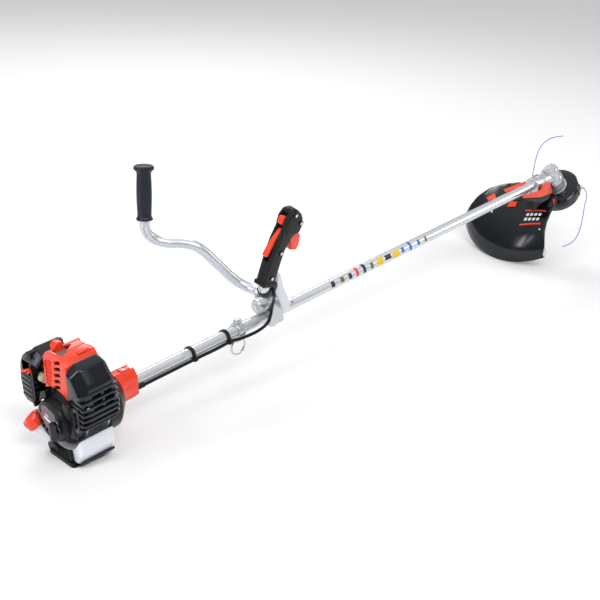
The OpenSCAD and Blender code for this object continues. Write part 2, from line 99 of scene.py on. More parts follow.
# ------------------------------------------------------------------ materials
def mat(name, col, rough=0.4, metal=0.0, coat=0.0, bump=0.0, scale=900.0, trans=0.0, sss=0.0, rvar=0.0, spec=0.5):
    m = bpy.data.materials.new(name)
    m.use_nodes = True
    nt = m.node_tree
    b = nt.nodes["Principled BSDF"]
    b.inputs["Base Color"].default_value = (*col, 1)
    b.inputs["Roughness"].default_value = rough
    b.inputs["Metallic"].default_value = metal
    b.inputs["Coat Weight"].default_value = coat
    b.inputs["Coat Roughness"].default_value = 0.12
    b.inputs["Specular IOR Level"].default_value = spec
    b.inputs["Transmission Weight"].default_value = trans
    if sss:
        b.inputs["Subsurface Weight"].default_value = sss
        b.inputs["Subsurface Radius"].default_value = (0.02, 0.02, 0.02)
        b.inputs["Subsurface Scale"].default_value = 1.0
    if bump or rvar:
        tc = nt.nodes.new("ShaderNodeTexCoord")
        nz = nt.nodes.new("ShaderNodeTexNoise")
        nz.inputs["Scale"].default_value = scale
        nz.inputs["Detail"].default_value = 4.0
        nt.links.new(tc.outputs["Object"], nz.inputs["Vector"])
        if bump:
            bp = nt.nodes.new("ShaderNodeBump")
            bp.inputs["Strength"].default_value = bump
            bp.inputs["Distance"].default_value = 0.0006
            nt.links.new(nz.outputs["Fac"], bp.inputs["Height"])
            nt.links.new(bp.outputs["Normal"], b.inputs["Normal"])
        if rvar:
            nz2 = nt.nodes.new("ShaderNodeTexNoise")
            nz2.inputs["Scale"].default_value = 35.0
            mr = nt.nodes.new("ShaderNodeMapRange")
            mr.inputs["To Min"].default_value = max(0.03, rough - rvar)
            mr.inputs["To Max"].default_value = rough + rvar
            nt.links.new(tc.outputs["Object"], nz2.inputs["Vector"])
            nt.links.new(nz2.outputs["Fac"], mr.inputs["Value"])
            nt.links.new(mr.outputs["Result"], b.inputs["Roughness"])
    return m


MATS = {
    "red_plastic": mat("red_plastic", (0.84, 0.050, 0.014), 0.30, coat=0.15, rvar=0.05, spec=0.4),
    "orange_plastic": mat("orange_plastic", (0.85, 0.055, 0.014), 0.34, coat=0.1, rvar=0.05, spec=0.4),
    "black_plastic": mat("black_plastic", (0.006, 0.007, 0.009), 0.38, bump=0.10, scale=1400, rvar=0.08, spec=0.26),
    "black_gloss": mat("black_gloss", (0.004, 0.006, 0.010), 0.17, coat=0.15, rvar=0.06, spec=0.4),
    "cast_aluminium": mat("cast_aluminium", (0.60, 0.61, 0.63), 0.36, metal=0.85, bump=0.18, scale=1100, rvar=0.06),
    "bar_aluminium": mat("bar_aluminium", (0.66, 0.69, 0.74), 0.34, metal=0.8),
    "steel": mat("steel", (0.62, 0.62, 0.63), 0.24, metal=1.0, rvar=0.05),
    "dark_steel": mat("dark_steel", (0.22, 0.22, 0.23), 0.35, metal=1.0),
    "muffler_steel": mat("muffler_steel", (0.42, 0.41, 0.40), 0.32, metal=0.9, rvar=0.08),
    "tube_paint": mat("tube_paint", (0.66, 0.68, 0.71), 0.26, metal=0.55, coat=0.3, rvar=0.03),
    "bush_rubber": mat("bush_rubber", (0.02, 0.02, 0.02), 0.6),
    "filter_foam": mat("filter_foam", (0.03, 0.03, 0.03), 0.95, bump=0.6, scale=500),
    "ceramic": mat("ceramic", (0.8, 0.8, 0.78), 0.15, coat=0.5),
    "tank_plastic": mat("tank_plastic", (0.80, 0.83, 0.89), 0.30, sss=0.35, rvar=0.04),
    "cable_sheath": mat("cable_sheath", (0.005, 0.005, 0.007), 0.33, spec=0.25),
    "cutting_line": mat("cutting_line", (0.20, 0.24, 0.62), 0.35),
    "grip_rubber": mat("grip_rubber", (0.012, 0.016, 0.025), 0.42, bump=0.2, scale=900, rvar=0.06, spec=0.3),
    "white_plastic": mat("white_plastic", (0.82, 0.84, 0.86), 0.28, coat=0.2),
    "bulb_rubber": mat("bulb_rubber", (0.62, 0.50, 0.30), 0.25, trans=0.2),
    "rope_fibre": mat("rope_fibre", (0.7, 0.7, 0.66), 0.8),
}
DEC = {
    "mark_black": mat("mark_black", (0.015, 0.015, 0.018), 0.35),
    "mark_olive": mat("mark_olive", (0.14, 0.13, 0.03), 0.4),
    "mark_yellow": mat("mark_yellow", (0.80, 0.52, 0.02), 0.38),
    "mark_blue": mat("mark_blue", (0.03, 0.12, 0.55), 0.38),
    "mark_red": mat("mark_red", (0.70, 0.05, 0.02), 0.38),
    "mark_grey": mat("mark_grey", (0.45, 0.46, 0.48), 0.45),
    "mark_white": mat("mark_white", (0.86, 0.87, 0.88), 0.4),
    "cover_grey": mat("cover_grey", (0.045, 0.06, 0.085), 0.32, coat=0.1, rvar=0.05),
    "plate_grey": mat("plate_grey", (0.10, 0.11, 0.135), 0.38),
    "brass": mat("brass", (0.60, 0.42, 0.16), 0.3, metal=1.0),
}
ALL = {**MATS, **DEC}
slot_of = {s["node"]: s["material_slot"] for s in frame["record"]["subparts"]}
body_of_node = {n: o["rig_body"] for n, o in frame["nodes"].items()}
for n, o in frame["nodes"].items():
    o.data.materials.clear()
    o.data.materials.append(MATS[slot_of[n]])
    o.data.polygons.foreach_set("use_smooth", [True] * len(o.data.polygons))
    o.data.set_sharp_from_angle(angle=math.radians(28))


# ------------------------------------------------------------------ mesh tools
def rnd(pts, r, seg=5):
    """Outline with its corners rounded; r is one radius or a list."""
    out = []
    n = len(pts)
    for i, p in enumerate(pts):
        rr = r[i] if isinstance(r, (list, tuple)) else r
        a, b, c = Vector(pts[i - 1]), Vector(p), Vector(pts[(i + 1) % n])
        u, v = a - b, c - b
        lu, lv = u.length, v.length
        if rr <= 0 or lu < 1e-6 or lv < 1e-6:
            out.append(tuple(b))
            continue
        u.normalize()
        v.normalize()
        ang = math.acos(max(-1, min(1, u.dot(v))))
        if ang > 3.05:
            out.append(tuple(b))
            continue
        d = min(rr / math.tan(ang / 2), lu * 0.45, lv * 0.45)
        p0, p1 = b + u * d, b + v * d
        for k in range(seg + 1):
            t = k / seg
            out.append(tuple(p0 * (1 - t) ** 2 + b * 2 * t * (1 - t) + p1 * t * t))
    return out


def new_bm():
    return bmesh.new()


def loops(bm, rings, close=True, caps=True, mi=0):
    vs = [[bm.verts.new(p) for p in ring] for ring in rings]
    m = len(rings[0])
    for a, b in zip(vs, vs[1:]):
        for j in range(m if close else m - 1):
            f = bm.faces.new((a[j], a[(j + 1) % m], b[(j + 1) % m], b[j]))
            f.material_index = mi
    if caps:
        f = bm.faces.new(list(reversed(vs[0])))
        f.material_index = mi
        f = bm.faces.new(vs[-1])
        f.material_index = mi
    return vs


def prism(outline, axis, lo, hi, bm=None, mi=0):
    """outline in the other two axes: x -> (y,z), y -> (x,z), z -> (x,y)."""
    bm = bm or new_bm()

    def at(p, t):
        return {"x": (t, p[0], p[1]), "y": (p[0], t, p[1]), "z": (p[0], p[1], t)}[axis]

    loops(bm, [[at(p, lo) for p in outline], [at(p, hi) for p in outline]], mi=mi)
    return bm


def box(a, b, bm=None, mi=0):
    return prism([(a[0], a[1]), (b[0], a[1]), (b[0], b[1]), (a[0], b[1])], "z", a[2], b[2], bm, mi)


def lathe(prof, n=96, bm=None, M=None, mi=0, wave=None):
    """profile [(r, z)] closed on itself when r is never 0; ends on the axis get capped."""
    bm = bm or new_bm()
    rings = []
    for r, z in prof:
        ring = []
        for j in range(n):
            a = 2 * math.pi * j / n
            rr = r * (1 + (wave(a, r, z) if wave else 0))
            p = Vector((rr * math.cos(a), rr * math.sin(a), z))
            ring.append(M @ p if M else p)
        rings.append(ring)
    loops(bm, rings, mi=mi)
    return bm


def cyl(r, a, b, axis="x", at=(0, 0), n=64, bm=None, mi=0):
    ring = [(at[0] + r * math.cos(2 * math.pi * j / n), at[1] + r * math.sin(2 * math.pi * j / n)) for j in range(n)]
    return prism(ring, axis, a, b, bm, mi)


def catmull(p, n):
    p = [Vector(q) for q in p]
    out = []
    for i in range(len(p) - 1):
        a, b, c, d = p[max(i - 1, 0)], p[i], p[i + 1], p[min(i + 2, len(p) - 1)]
        for j in range(n):
            t = j / n
            out.append(0.5 * ((2 * b) + (c - a) * t + (2 * a - 5 * b + 4 * c - d) * t * t + (3 * b - a - 3 * c + d) * t * t * t))
    out.append(p[-1])
    return out


def sweep(pts, r, m=24, n=6, bm=None, mi=0):
    """tube along a smooth route; r may be a function of the share of the route."""
    bm = bm or new_bm()
    q = catmull(pts, n)
    k = len(q)
    w = None
    rings = []
    for i in range(k):
        t = (q[min(i + 1, k - 1)] - q[max(i - 1, 0)]).normalized()
        if w is None:
            w = Vector((0, 0, 1)) if abs(t.z) < 0.9 else Vector((1, 0, 0))
        w = (w - t * w.dot(t)).normalized()
        b = t.cross(w)
        rr = r(i / (k - 1)) if callable(r) else r
        rings.append([q[i] + rr * (math.cos(2 * math.pi * j / m) * w + math.sin(2 * math.pi * j / m) * b) for j in range(m)])
    loops(bm, rings, mi=mi)
    return bm


def temp(bm):
    me = bpy.data.meshes.new("t")
    bmesh.ops.recalc_face_normals(bm, faces=bm.faces)
    bm.to_mesh(me)
    bm.free()
    o = bpy.data.objects.new("t", me)
    scene.collection.objects.link(o)
    return o


def bake(o):
    dg = bpy.context.evaluated_depsgraph_get()
    dg.update()
    me = bpy.data.meshes.new_from_object(o.evaluated_get(dg))
    old = o.data
    o.modifiers.clear()
    o.data = me
    bpy.data.meshes.remove(old)
    return o


def solid(bm, bevel=0.0, seg=3, ang=35, cut=(), keep=(), cut2=None):
    """mesh -> bevel -> cut, all in millimetres; returns a temporary object."""
    o = temp(bm)
    if bevel:
        b = o.modifiers.new("b", "BEVEL")
        b.width = bevel
        b.segments = seg
        b.limit_method = "ANGLE"
        b.angle_limit = math.radians(ang)
        b.miter_outer = "MITER_ARC"
        bake(o)
    for kind, group in (("DIFFERENCE", cut), ("INTERSECT", keep)):
        for c in group:
            co = temp(c)
            m = o.modifiers.new("c", "BOOLEAN")
            m.operation = kind
            m.solver = "EXACT"
            m.object = co
            bake(o)
            cm = co.data
            bpy.data.objects.remove(co)
            bpy.data.meshes.remove(cm)
    return o


def hull(loops):
    """closed convex skin over loops of (y, z) points, each at its own x."""
    bm = bmesh.new()
    for x, pts in loops:
        for y, z in pts:
            bm.verts.new((x, y, z))
    r = bmesh.ops.convex_hull(bm, input=bm.verts[:])
    junk = [g for g in r["geom_interior"] + r["geom_unused"] if isinstance(g, bmesh.types.BMVert) and g.is_valid]
    bmesh.ops.delete(bm, geom=junk, context="VERTS")
    bmesh.ops.dissolve_limit(bm, angle_limit=math.radians(2), verts=bm.verts[:], edges=bm.edges[:])
    bmesh.ops.recalc_face_normals(bm, faces=bm.faces[:])
    return bm


def recut(o, cutters, bevel=0.0):
    """cut a finished object again."""
    for c in cutters:
        co = temp(c)
        m = o.modifiers.new("c", "BOOLEAN")
        m.operation = "DIFFERENCE"
        m.solver = "EXACT"
        m.object = co
        bake(o)
        cm = co.data
        bpy.data.objects.remove(co)
        bpy.data.meshes.remove(cm)
    return o


def piece(name, parts, mats, M=S, node=None, body=None, sharp=32, weld=True):
    """join temporary objects into one named piece in the row frame."""
    parts = parts if isinstance(parts, (list, tuple)) else [parts]
    bm = bmesh.new()
    for p in parts:
        if isinstance(p, tuple):
            p, mi = p
            for f in p.data.polygons:
                f.material_index = mi
        bm.from_mesh(p.data)
    for p in parts:
        p = p[0] if isinstance(p, tuple) else p
        me0 = p.data
        bpy.data.objects.remove(p)
        bpy.data.meshes.remove(me0)
    if weld:
        bmesh.ops.remove_doubles(bm, verts=bm.verts, dist=0.002)
    me = bpy.data.meshes.new(name)
    bm.to_mesh(me)
    bm.free()
    me.transform(M)
    for m in mats:
        me.materials.append(ALL[m])
    me.polygons.foreach_set("use_smooth", [True] * len(me.polygons))
    me.set_sharp_from_angle(angle=math.radians(sharp))
    o = bpy.data.objects.new(name, me)
    scene.collection.objects.link(o)
    if body:
        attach(o, body)
    if node:
        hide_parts(*([node] if isinstance(node, str) else node))
    return o


# ------------------------------------------------------------------ shaft tube
def tube():
    n = 128
    marks = [  # x0, x1, colour, angle from, angle to (degrees round the tube, 0 = -Y side, 90 = top)
        (110, 131, "mark_grey", 20, 75), (428, 432, "mark_black", 40, 60),
        (556, 568, "mark_black", -5, 60), (588, 600, "mark_olive", 0, 60), (616, 627, "mark_black", -5, 55),
        (642, 651, "mark_red", -20, 95), (667, 677, "mark_black", -20, 95), (694, 704, "mark_olive", -10, 60),
        (720, 740, "mark_yellow", -15, 80), (748, 770, "mark_black", 5, 60), (774, 802, "mark_yellow", -15, 60),
        (810, 820, "mark_blue", 0, 60), (840, 849, "mark_blue", -20, 95), (872, 881, "mark_blue", 0, 60), (900, 909, "mark_olive", 0, 60),
    ]
    xs = sorted({-35.0, 1436.0, *[m[0] for m in marks], *[m[1] for m in marks], *[float(v) for v in range(0, 1420, 60)]})
    xs = [x for i, x in enumerate(xs) if i == 0 or x - xs[i - 1] > 0.5]
    names = ["tube_paint"] + sorted({m[2] for m in marks})
    bm = new_bm()
    rings = [[bm.verts.new((x, -13 * math.cos(2 * math.pi * j / n), 13 * math.sin(2 * math.pi * j / n))) for j in range(n)] for x in xs]
    inner = [[bm.verts.new((x, -11.5 * math.cos(2 * math.pi * j / n), 11.5 * math.sin(2 * math.pi * j / n))) for j in range(n)] for x in (xs[0], xs[-1])]
    for i in range(len(xs) - 1):
        xm = (xs[i] + xs[i + 1]) / 2
        for j in range(n):
            f = bm.faces.new((rings[i][j], rings[i][(j + 1) % n], rings[i + 1][(j + 1) % n], rings[i + 1][j]))
            a = 360 * (j + 0.5) / n
            a = a - 360 if a > 180 else a
            for m in marks:
                if m[0] <= xm <= m[1] and m[3] <= a <= m[4]:
                    f.material_index = names.index(m[2])
    for j in range(n):
        k = (j + 1) % n
        bm.faces.new((inner[0][j], inner[1][j], inner[1][k], inner[0][k]))
        bm.faces.new((rings[0][j], inner[0][j], inner[0][k], rings[0][k]))
        bm.faces.new((rings[-1][j], rings[-1][k], inner[1][k], inner[1][j]))
    piece("shaft_tube_skin", temp(bm), names, node="shaft_tube", body="chassis")


# ------------------------------------------------------------------ engine
def engine():
    # red top cover with its slotted rear panel
    out = rnd([(-40, 50), (-40, 124), (-30, 134), (-10, 140), (8, 140), (24, 133), (33, 121), (36, 50), (24, 48)], [2, 7, 9, 12, 12, 9, 7, 3, 2])
    base = prism(out, "x", -186, -113)
    hollow = prism(rnd([(-37, 30), (-37, 122.5), (-28, 131), (-9, 136.8), (7, 136.8), (22, 130.4), (30, 120), (33, 30)], 5), "x", -182.5, -105)
    cuts = [hollow, cyl(63.2, -214, -100, n=96), box((-180, -50, 52), (-118, -36.5, 100)), box((-162, 25, 52), (-120, 40, 98))]
    cuts.append(prism(rnd([(-181, 9), (-160, 12), (-139, 3), (-157, -9), (-173, -21), (-181, -15)], 1.5, 3), "z", 122, 160))
    # five tilted slots
    for i, (y, z) in enumerate([(-13, 127.5), (-11, 113.5), (-9, 99.5), (-7, 85.5), (-5, 71.5)]):
        b = box((-192, -11, -3.6), (-176, 11, 3.6))
        bmesh.ops.transform(b, matrix=Matrix.Translation((0, y, z - 3)) @ Matrix.Rotation(math.radians(-22), 4, "X"), verts=b.verts)
        cuts.append(b)
    # recess beside the slots
    cuts.append(prism(rnd([(5, 122), (27, 116), (29, 62), (16, 58), (10, 80)], 3), "x", -190, -183.6))
    front = box((0, -60, 0), (34, 60, 34))
    bmesh.ops.transform(front, matrix=Matrix.Translation((-124, 0, 139)) @ Matrix.Rotation(math.radians(24), 4, "Y"), verts=front.verts)
    cuts.append(front)
    cover = solid(base, 3.0, 4, 35, cut=cuts)
    ribs = []
    for i in range(7):
        b = box((-186.4, -1.1, -1.6), (-182.8, 15, 1.6))
        bmesh.ops.transform(b, matrix=Matrix.Translation((0, 10.5 + 0.5 * i, 112 - 8.2 * i)) @ Matrix.Rotation(math.radians(32), 4, "X"), verts=b.verts)
        ribs.append(solid(b, 0.7, 2))
    tab = solid(prism(rnd([(-172, 122), (-173, 143), (-168, 150), (-156, 149), (-149, 124)], 2.5), "y", 9, 25), 1.8, 3)
    ridge = solid(prism(rnd([(-31, 130), (-31, 137), (-25, 139), (-22, 132)], 1.5), "x", -150, -124), 0.8, 2)
    piece("engine_cover_skin", [cover, *ribs, tab, ridge], ["red_plastic"], node="engine_cover", body="chassis")
    fins = [solid(box((-176, y, 119), (-148, y + 1.8, 131)), 0.4, 2) for y in (-17, -11, -5, 1, 7)]
    piece("head_fins", fins, ["cast_aluminium"], body="chassis")

    # black muffler cover: faceted shell, top grooves, wrapped slats with bright metal behind
    full = [(-43, 131), (-64, 125), (-85, 94), (-92, 54), (-88, 18), (-73, 0), (-43, -4)]
    rear = [(-43, 115), (-57, 111), (-72, 88), (-88, 62), (-85, 18), (-71, 1), (-43, -3)]
    face = [(-43, 122), (-60, 117), (-80, 91), (-89, 54), (-85, 18), (-71, 1), (-43, -3)]
    shell = hull([(-190.5, rear), (-172, full), (-121, full), (-112, face)])
    inner = hull([(-187.5, [(-30, 110), (-54, 107), (-69, 85), (-85, 60), (-82, 20), (-69, 4), (-30, 1)]), (-171, [(-30, 127), (-61, 121), (-82, 92), (-89, 54), (-85, 20), (-70, 3), (-30, 0)]),
                  (-121, [(-30, 127), (-61, 121), (-82, 92), (-89, 54), (-85, 20), (-70, 3), (-30, 0)]), (-115, [(-30, 119), (-57, 114), (-77, 89), (-86, 54), (-82, 20), (-69, 4), (-30, 1)])])
    cuts = [inner, cyl(63.6, -214, -100, n=96), cyl(64.4, -114, -100, n=96)]
    for z in (73, 61, 49):
        cuts.append(box((-168, -99, z), (-148, -80, z + 6)))
        cuts.append(box((-142, -99, z), (-124, -80, z + 6)))
    body = solid(shell, 2.6, 4, 20, cut=cuts)

    def ymax(z):
        p = [(131, 43), (125, 64), (94, 85), (54, 92), (18, 88), (0, 73), (-4, 43)]
        for (z0, y0), (z1, y1) in zip(p, p[1:]):
            if z1 <= z <= z0:
                return y0 + (y1 - y0) * (z - z0) / (z1 - z0)
        return 60
    slats = []
    for k in range(6):  # fine lines on the upper facet
        t = 0.16 + 0.125 * k
        y, z = -64 - 21 * t, 125 - 31 * t
        rib = box((-171, -1.3, -0.9), (-124, 1.3, 1.9))
        bmesh.ops.transform(rib, matrix=Matrix.Translation((0, y, z)) @ Matrix.Rotation(math.radians(56), 4, "X"), verts=rib.verts)
        slats.append(solid(rib, 0.5, 2))
    for z in (82, 70, 58, 46, 34, 22, 10):
        y = -(ymax(z) + 3.2)
        x0 = -193.5
        yin = -56 if z < 60 else y + 16
        ol = rnd([(x0, yin), (x0, y + 4), (x0 + 5, y), (-113, y), (-108.5, y + 6), (-108.5, -66), (-112, -64), (-113, y + 14), (-186, y + 14), (-186, yin)], [0, 3, 4, 4, 3, 0, 0, 0, 0, 0], 4)
        slats.append(solid(prism(ol, "z", z - 2.6, z + 2.6), 1.3, 2))
    post = prism(rnd([(-76, 2), (-60, 0), (-54, 8), (-56, 48), (-64, 56), (-78, 52)], 5), "x", -194.5, -188)
    well = prism(rnd([(-70, 10), (-62, 10), (-62, 44), (-70, 44)], 3.5), "x", -199, -191)
    slats.append(solid(post, 1.6, 3, cut=[well]))
    piece("muffler_cover_skin", [body, *slats], ["black_gloss"], node="muffler_cover", body="chassis")
    # heat shield plate seen between the slats
    piece("heat_plate", [solid(prism(rnd([(-168, 44), (-126, 44), (-126, 76), (-168, 76)], 4), "y", -80.6, -79.4), 0.4, 2),
                         solid(prism([(-150, 50), (-140, 50), (-136, 70), (-146, 70)], "y", -82.5, -80.4), 0.4, 2)], ["muffler_steel"], body="chassis")

    # air cleaner cover, with a hood that reaches over the carburetor
    prof = [(70.2, 3), (92, 2), (102, 10), (105, 48), (99, 84), (88, 104), (70.2, 120)]
    shell = prism(rnd(prof, [2, 6, 6, 8, 8, 7, 3]), "x", -195.5, -118)
    inner = prism([(60, 6), (90, 5), (99, 12), (102, 48), (96, 82), (85, 101), (60, 118)], "x", -193, -121)
    body = solid(shell, 4.5, 4, 35, cut=[inner, box((-204, 60, 64), (-191, 93, 94))])
    hood = solid(hull([(-195.2, [(42, 93), (42, 98), (86, 94), (84, 99)]), (-178, [(42, 104), (42, 113), (72, 121), (88, 106)]), (-124, [(44, 106), (44, 113), (72, 121), (88, 104)])]), 2.2, 3, 20)
    extra = []
    for z in (14, 25, 36, 47, 58):
        yo = 103.5 + (z if z < 48 else 48) * 0.03 + (1.2 if z < 58 else 0.2)
        ol = rnd([(-196.8, 74), (-196.8, yo - 4), (-192, yo + 1.4), (-124, yo + 1.4), (-124, yo - 3), (-190, yo - 3), (-192, 74)], [0, 3, 4, 1, 0, 0, 0], 4)
        extra.append(solid(prism(ol, "z", z - 2.4, z + 2.4), 1.2, 2))
    for z in (70, 80, 90):
        yo = 104.2 - (z - 66) * 0.17
        extra.append(solid(prism(rnd([(-196, yo - 6), (-190, yo + 0.8), (-124, yo + 0.8), (-124, yo - 4)], 1.5, 3), "z", z - 2, z + 2), 0.9, 2))
    facet = solid(hull([(-197.4, [(46, 97.5), (82, 98.5)]), (-180.2, [(46, 112.2), (70, 118.6)]), (-195.6, [(46, 95.5), (82, 96)]), (-179, [(46, 110), (70, 116)])]), 0.4, 2)
    hook = solid(prism(rnd([(70.5, -6), (76, -8), (79, 4), (71, 5)], 1.5), "x", -193, -178), 1.2, 2)
    piece("air_cleaner_skin", [body, hood, *extra, (facet, 1), hook], ["black_gloss", "cover_grey"], node="air_cleaner_cover", body="chassis")
    # air cleaner back plate with stiffening ribs and intake pieces
    plate = solid(prism(rnd([(62, 8), (70, 8), (70, 118), (62, 118)], 1.5), "x", -195, -120), 1.2, 2, cut=[cyl(66, -214, -100, n=96), cyl(10, 30, 90, "y", (-141, 75))])
    pin = solid(cyl(2.5, -204, -190, "x", (66, 80), 32), 0.4, 2)
    ribs = [solid(box((-193, 55.5, z), (-150, 62.2, z + 2)), 0.5, 2) for z in (30, 42, 54, 96, 106)]
    piece("air_cleaner_plate", [plate, pin, *ribs], ["black_plastic"], node="air_cleaner_base", body="chassis")
    bits = [(solid(cyl(3.2, 38, 58, "y", (-176, 88), 24), 0.5, 2), 0), (solid(cyl(4.5, -178, -168, "x", (44, 84), 24), 0.6, 2), 1),
            (solid(box((-174, 40, 93), (-150, 56, 96)), 0.8, 2), 1), (solid(cyl(2.6, 93, 104, "z", (-160, 46), 24), 0.5, 2), 0),
            (solid(cyl(2.0, -186, -170, "x", (40, 60), 24), 0.3, 2), 0)]
    piece("carburetor_fittings", bits, ["brass", "steel"], body="chassis")

    # starter cover
    prof = [(0, -208), (36, -208), (41, -205.5), (42.5, -202), (44, -188.5), (46, -187), (53, -183), (56.5, -181), (58, -177.5), (58, -167.2), (55, -167.2), (55, -177), (41, -184.5), (39.5, -202), (36, -205), (0, -205)]
    bm = lathe([(r if r else 0.01, x) for r, x in prof], 128, M=XAX)
    cuts = [cyl(3, -213, -200, "x", (-31, 0), 32)]
    for a in range(20, 161, 20):
        b = box((-213, -2.3, -33), (-203.6, 2.3, -20))
        bmesh.ops.transform(b, matrix=Matrix.Rotation(math.radians(a - 90), 4, "X"), verts=b.verts)
        cuts.append(b)
    dish = solid(bm, 0.0, cut=cuts)
    lumps = [solid(prism(rnd([(-60, -16), (-44, -22), (-42, 40), (-50, 52), (-58, 50), (-66, 30)], 7), "x", -196, -178), 4, 3, cut=[cyl(43.5, -214, -170, n=96)]),
             solid(prism(rnd([(-52, 20), (-36, 26), (-30, 46), (-40, 58), (-56, 54)], 6), "x", -200, -176), 4, 3, cut=[cyl(43.5, -214, -170, n=96)]),
             solid(prism(rnd([(22, 40), (40, 30), (48, 20), (40, 44), (24, 54)], 3), "x", -196, -180), 2, 3, cut=[cyl(43.2, -214, -170, n=96)])]
    for a in (25, 75, 155, 205, 335):
        c = cyl(5, -186, -168, "x", (55 * math.cos(math.radians(a)), 55 * math.sin(math.radians(a))), 32)
        lumps.append(solid(c, 1, 2))
    eye = lathe([(3.1, -209.6), (5.2, -209.6), (6, -208.8), (6, -207.9), (3.1, -207.9)], 32, M=Matrix.Translation((0, -31, 0)) @ XAX)
    lumps.append(solid(eye))
    # grey face plate with generic trim
    face = solid(prism(rnd([(30, 4), (21, 29), (6, 34), (-20, 24), (-22, -4), (-12, -20), (14, -16)], 5), "x", -208.5, -207.8), 0.2, 1)

    def strip(pts, w, x=-208.8):
        parts = []
        for p, q in zip(pts, pts[1:]):
            d = Vector((q[0] - p[0], q[1] - p[1]))
            nrm = Vector((-d.y, d.x)).normalized() * w / 2
            parts.append(temp(prism([(p[0] + nrm.x, p[1] + nrm.y), (q[0] + nrm.x, q[1] + nrm.y), (q[0] - nrm.x, q[1] - nrm.y), (p[0] - nrm.x, p[1] - nrm.y)], "x", x, -208.45)))
        return parts
    red = strip([(25, 5), (12, 30), (-16, -8)], 1.3) + strip([(25, 5), (17, -2), (-10, -14)], 1.3)
    white = strip([(17, 6), (-3, 1)], 5.0) + strip([(12, 14), (2, 11)], 2.4)
    piece("starter_cover_skin", [dish, *lumps, (face, 1), *[(r, 2) for r in red], *[(w, 3) for w in white]],
          ["black_plastic", "plate_grey", "mark_red", "mark_white"], node="starter_cover", body="chassis")
    # starter grip
    grip = lathe([(0.01, -21), (4, -20), (7, -17.5), (8, -13), (7.2, 0), (8, 13), (7, 17.5), (4, 20), (0.01, 21)], 48, M=Matrix.Translation((-221, -31, 0)))
    g3 = lathe([(0.01, -1), (6, -1), (6, 6), (4.2, 9), (0.01, 9)], 32, M=Matrix.Translation((-221, -31, 0)) @ XAX)
    piece("starter_grip", [solid(grip), solid(g3)], ["black_gloss"], node="starter_handle", body="rope_grip")
    rope = sweep([(-199.5, -31, 0), (-203, -31, 0), (-208, -31, 0), (-211, -31, 0), (-214, -31, 0)], 1.6, 16, 6)
    o = piece("starter_cord", temp(rope), ["rope_fibre"], node="starter_rope")
    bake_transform(o)


def tank():
    out = rnd([(-60, -24), (-62, -60), (-52, -81), (-44, -85.6), (44, -85.6), (52, -81), (62, -60), (60, -24)], [8, 12, 8, 6, 6, 8, 12, 8], 6)
    body = solid(prism(out, "x", -188, -108), 11, 6, 40, cut=[cyl(65.5, -220, -90, n=96)])
    u = Vector((-0.4596, 0.4963, 0.7353))
    cp = Vector((-207, 60, -22))
    neck = solid(sweep([(-168, 20, -70), (-178, 30, -66), (-190, 42, -48), tuple(cp - 18 * u), tuple(cp - 1 * u)], 15, 40, 5), 0.8, 2)
    piece("fuel_tank_skin", [body, neck], ["tank_plastic"], node="fuel_tank", body="chassis", sharp=50)
    # cap: ten flats, knurled skirt
    q = Vector((0, 0, 1)).rotation_difference(u).to_matrix().to_4x4()
    C = Matrix.Translation(cp) @ q
    lob = lathe([(16.4, -10.5), (20.4, -11), (21, -9.5), (21, 4), (19.5, 8), (16, 9), (0.01, 9), (0.01, 6.2), (16.4, 6.2)], 120, M=C,
                wave=lambda a, r, z: 0 if r < 17 else -0.045 * (0.5 - 0.5 * math.cos(10 * a)) ** 0.6 if z > -10.4 else 0)
    ring = lathe([(16.6, -12.6), (19.4, -12.6), (19.4, -11.2), (16.6, -11.2)], 64, M=C)
    knob = solid(box((-12, -2.5, 8.5), (12, 2.5, 11)), 1.2, 3)
    knob.data.transform(C)
    piece("fuel_cap_skin", [solid(lob), solid(ring), knob], ["red_plastic"], node="fuel_cap", body="cap", sharp=35)
    # guard: ribbed rear panel, cradle under the tank, foot plate
    cut_neck = sweep([(-170, 22, -72), (-190, 42, -46), tuple(cp)], 16.2, 32, 4)
    panel = prism(rnd([(-34, -36), (-38, -78), (-34, -86), (36, -86), (40, -76), (24, -36), (0, -34)], [3, 8, 6, 6, 8, 4, 2]), "x", -195.6, -188.3)
    parts = [solid(panel, 2.4, 3, cut=[cyl(65.5, -220, -90, n=96), cut_neck])]
    for y in (-30, -22, -14, -6, 2):
        parts.append(solid(prism([(y, -80), (y + 3, -80), (y + 3 + 2, -54), (y + 2, -54)], "x", -197.6, -194), 0.9, 2, cut=[cyl(65.8, -220, -90, n=64)]))
    cradle = prism(rnd([(-57.5, -75.5), (-56.2, -76.3), (-53, -81.8), (-44.4, -86.0), (30, -86.0), (30, -88.2), (-47, -88.3), (-56, -84), (-60, -77)], 0.8, 2), "x", -187.5, -110)
    parts.append(solid(cradle, 0.8, 2))
    foot = solid(prism(rnd([(-190 - 722.6, -49.4), (-114 - 722.6, -49.4), (-114 - 722.6, 30.6), (-190 - 722.6, 30.6)], 9), "z", 0, 3), 1.0, 2)
    foot.data.transform(S.inverted() @ ROW)
    riser = solid(prism(rnd([(-190 - 722.6, -46.4), (-182 - 722.6, -46.4), (-182 - 722.6, 27.6), (-190 - 722.6, 27.6)], 3), "z", 1, 9), 0.6, 2, cut=[])
    riser.data.transform(S.inverted() @ ROW)
    parts += [foot, riser]
    piece("tank_guard_skin", parts, ["black_plastic"], node="tank_guard", body="chassis")


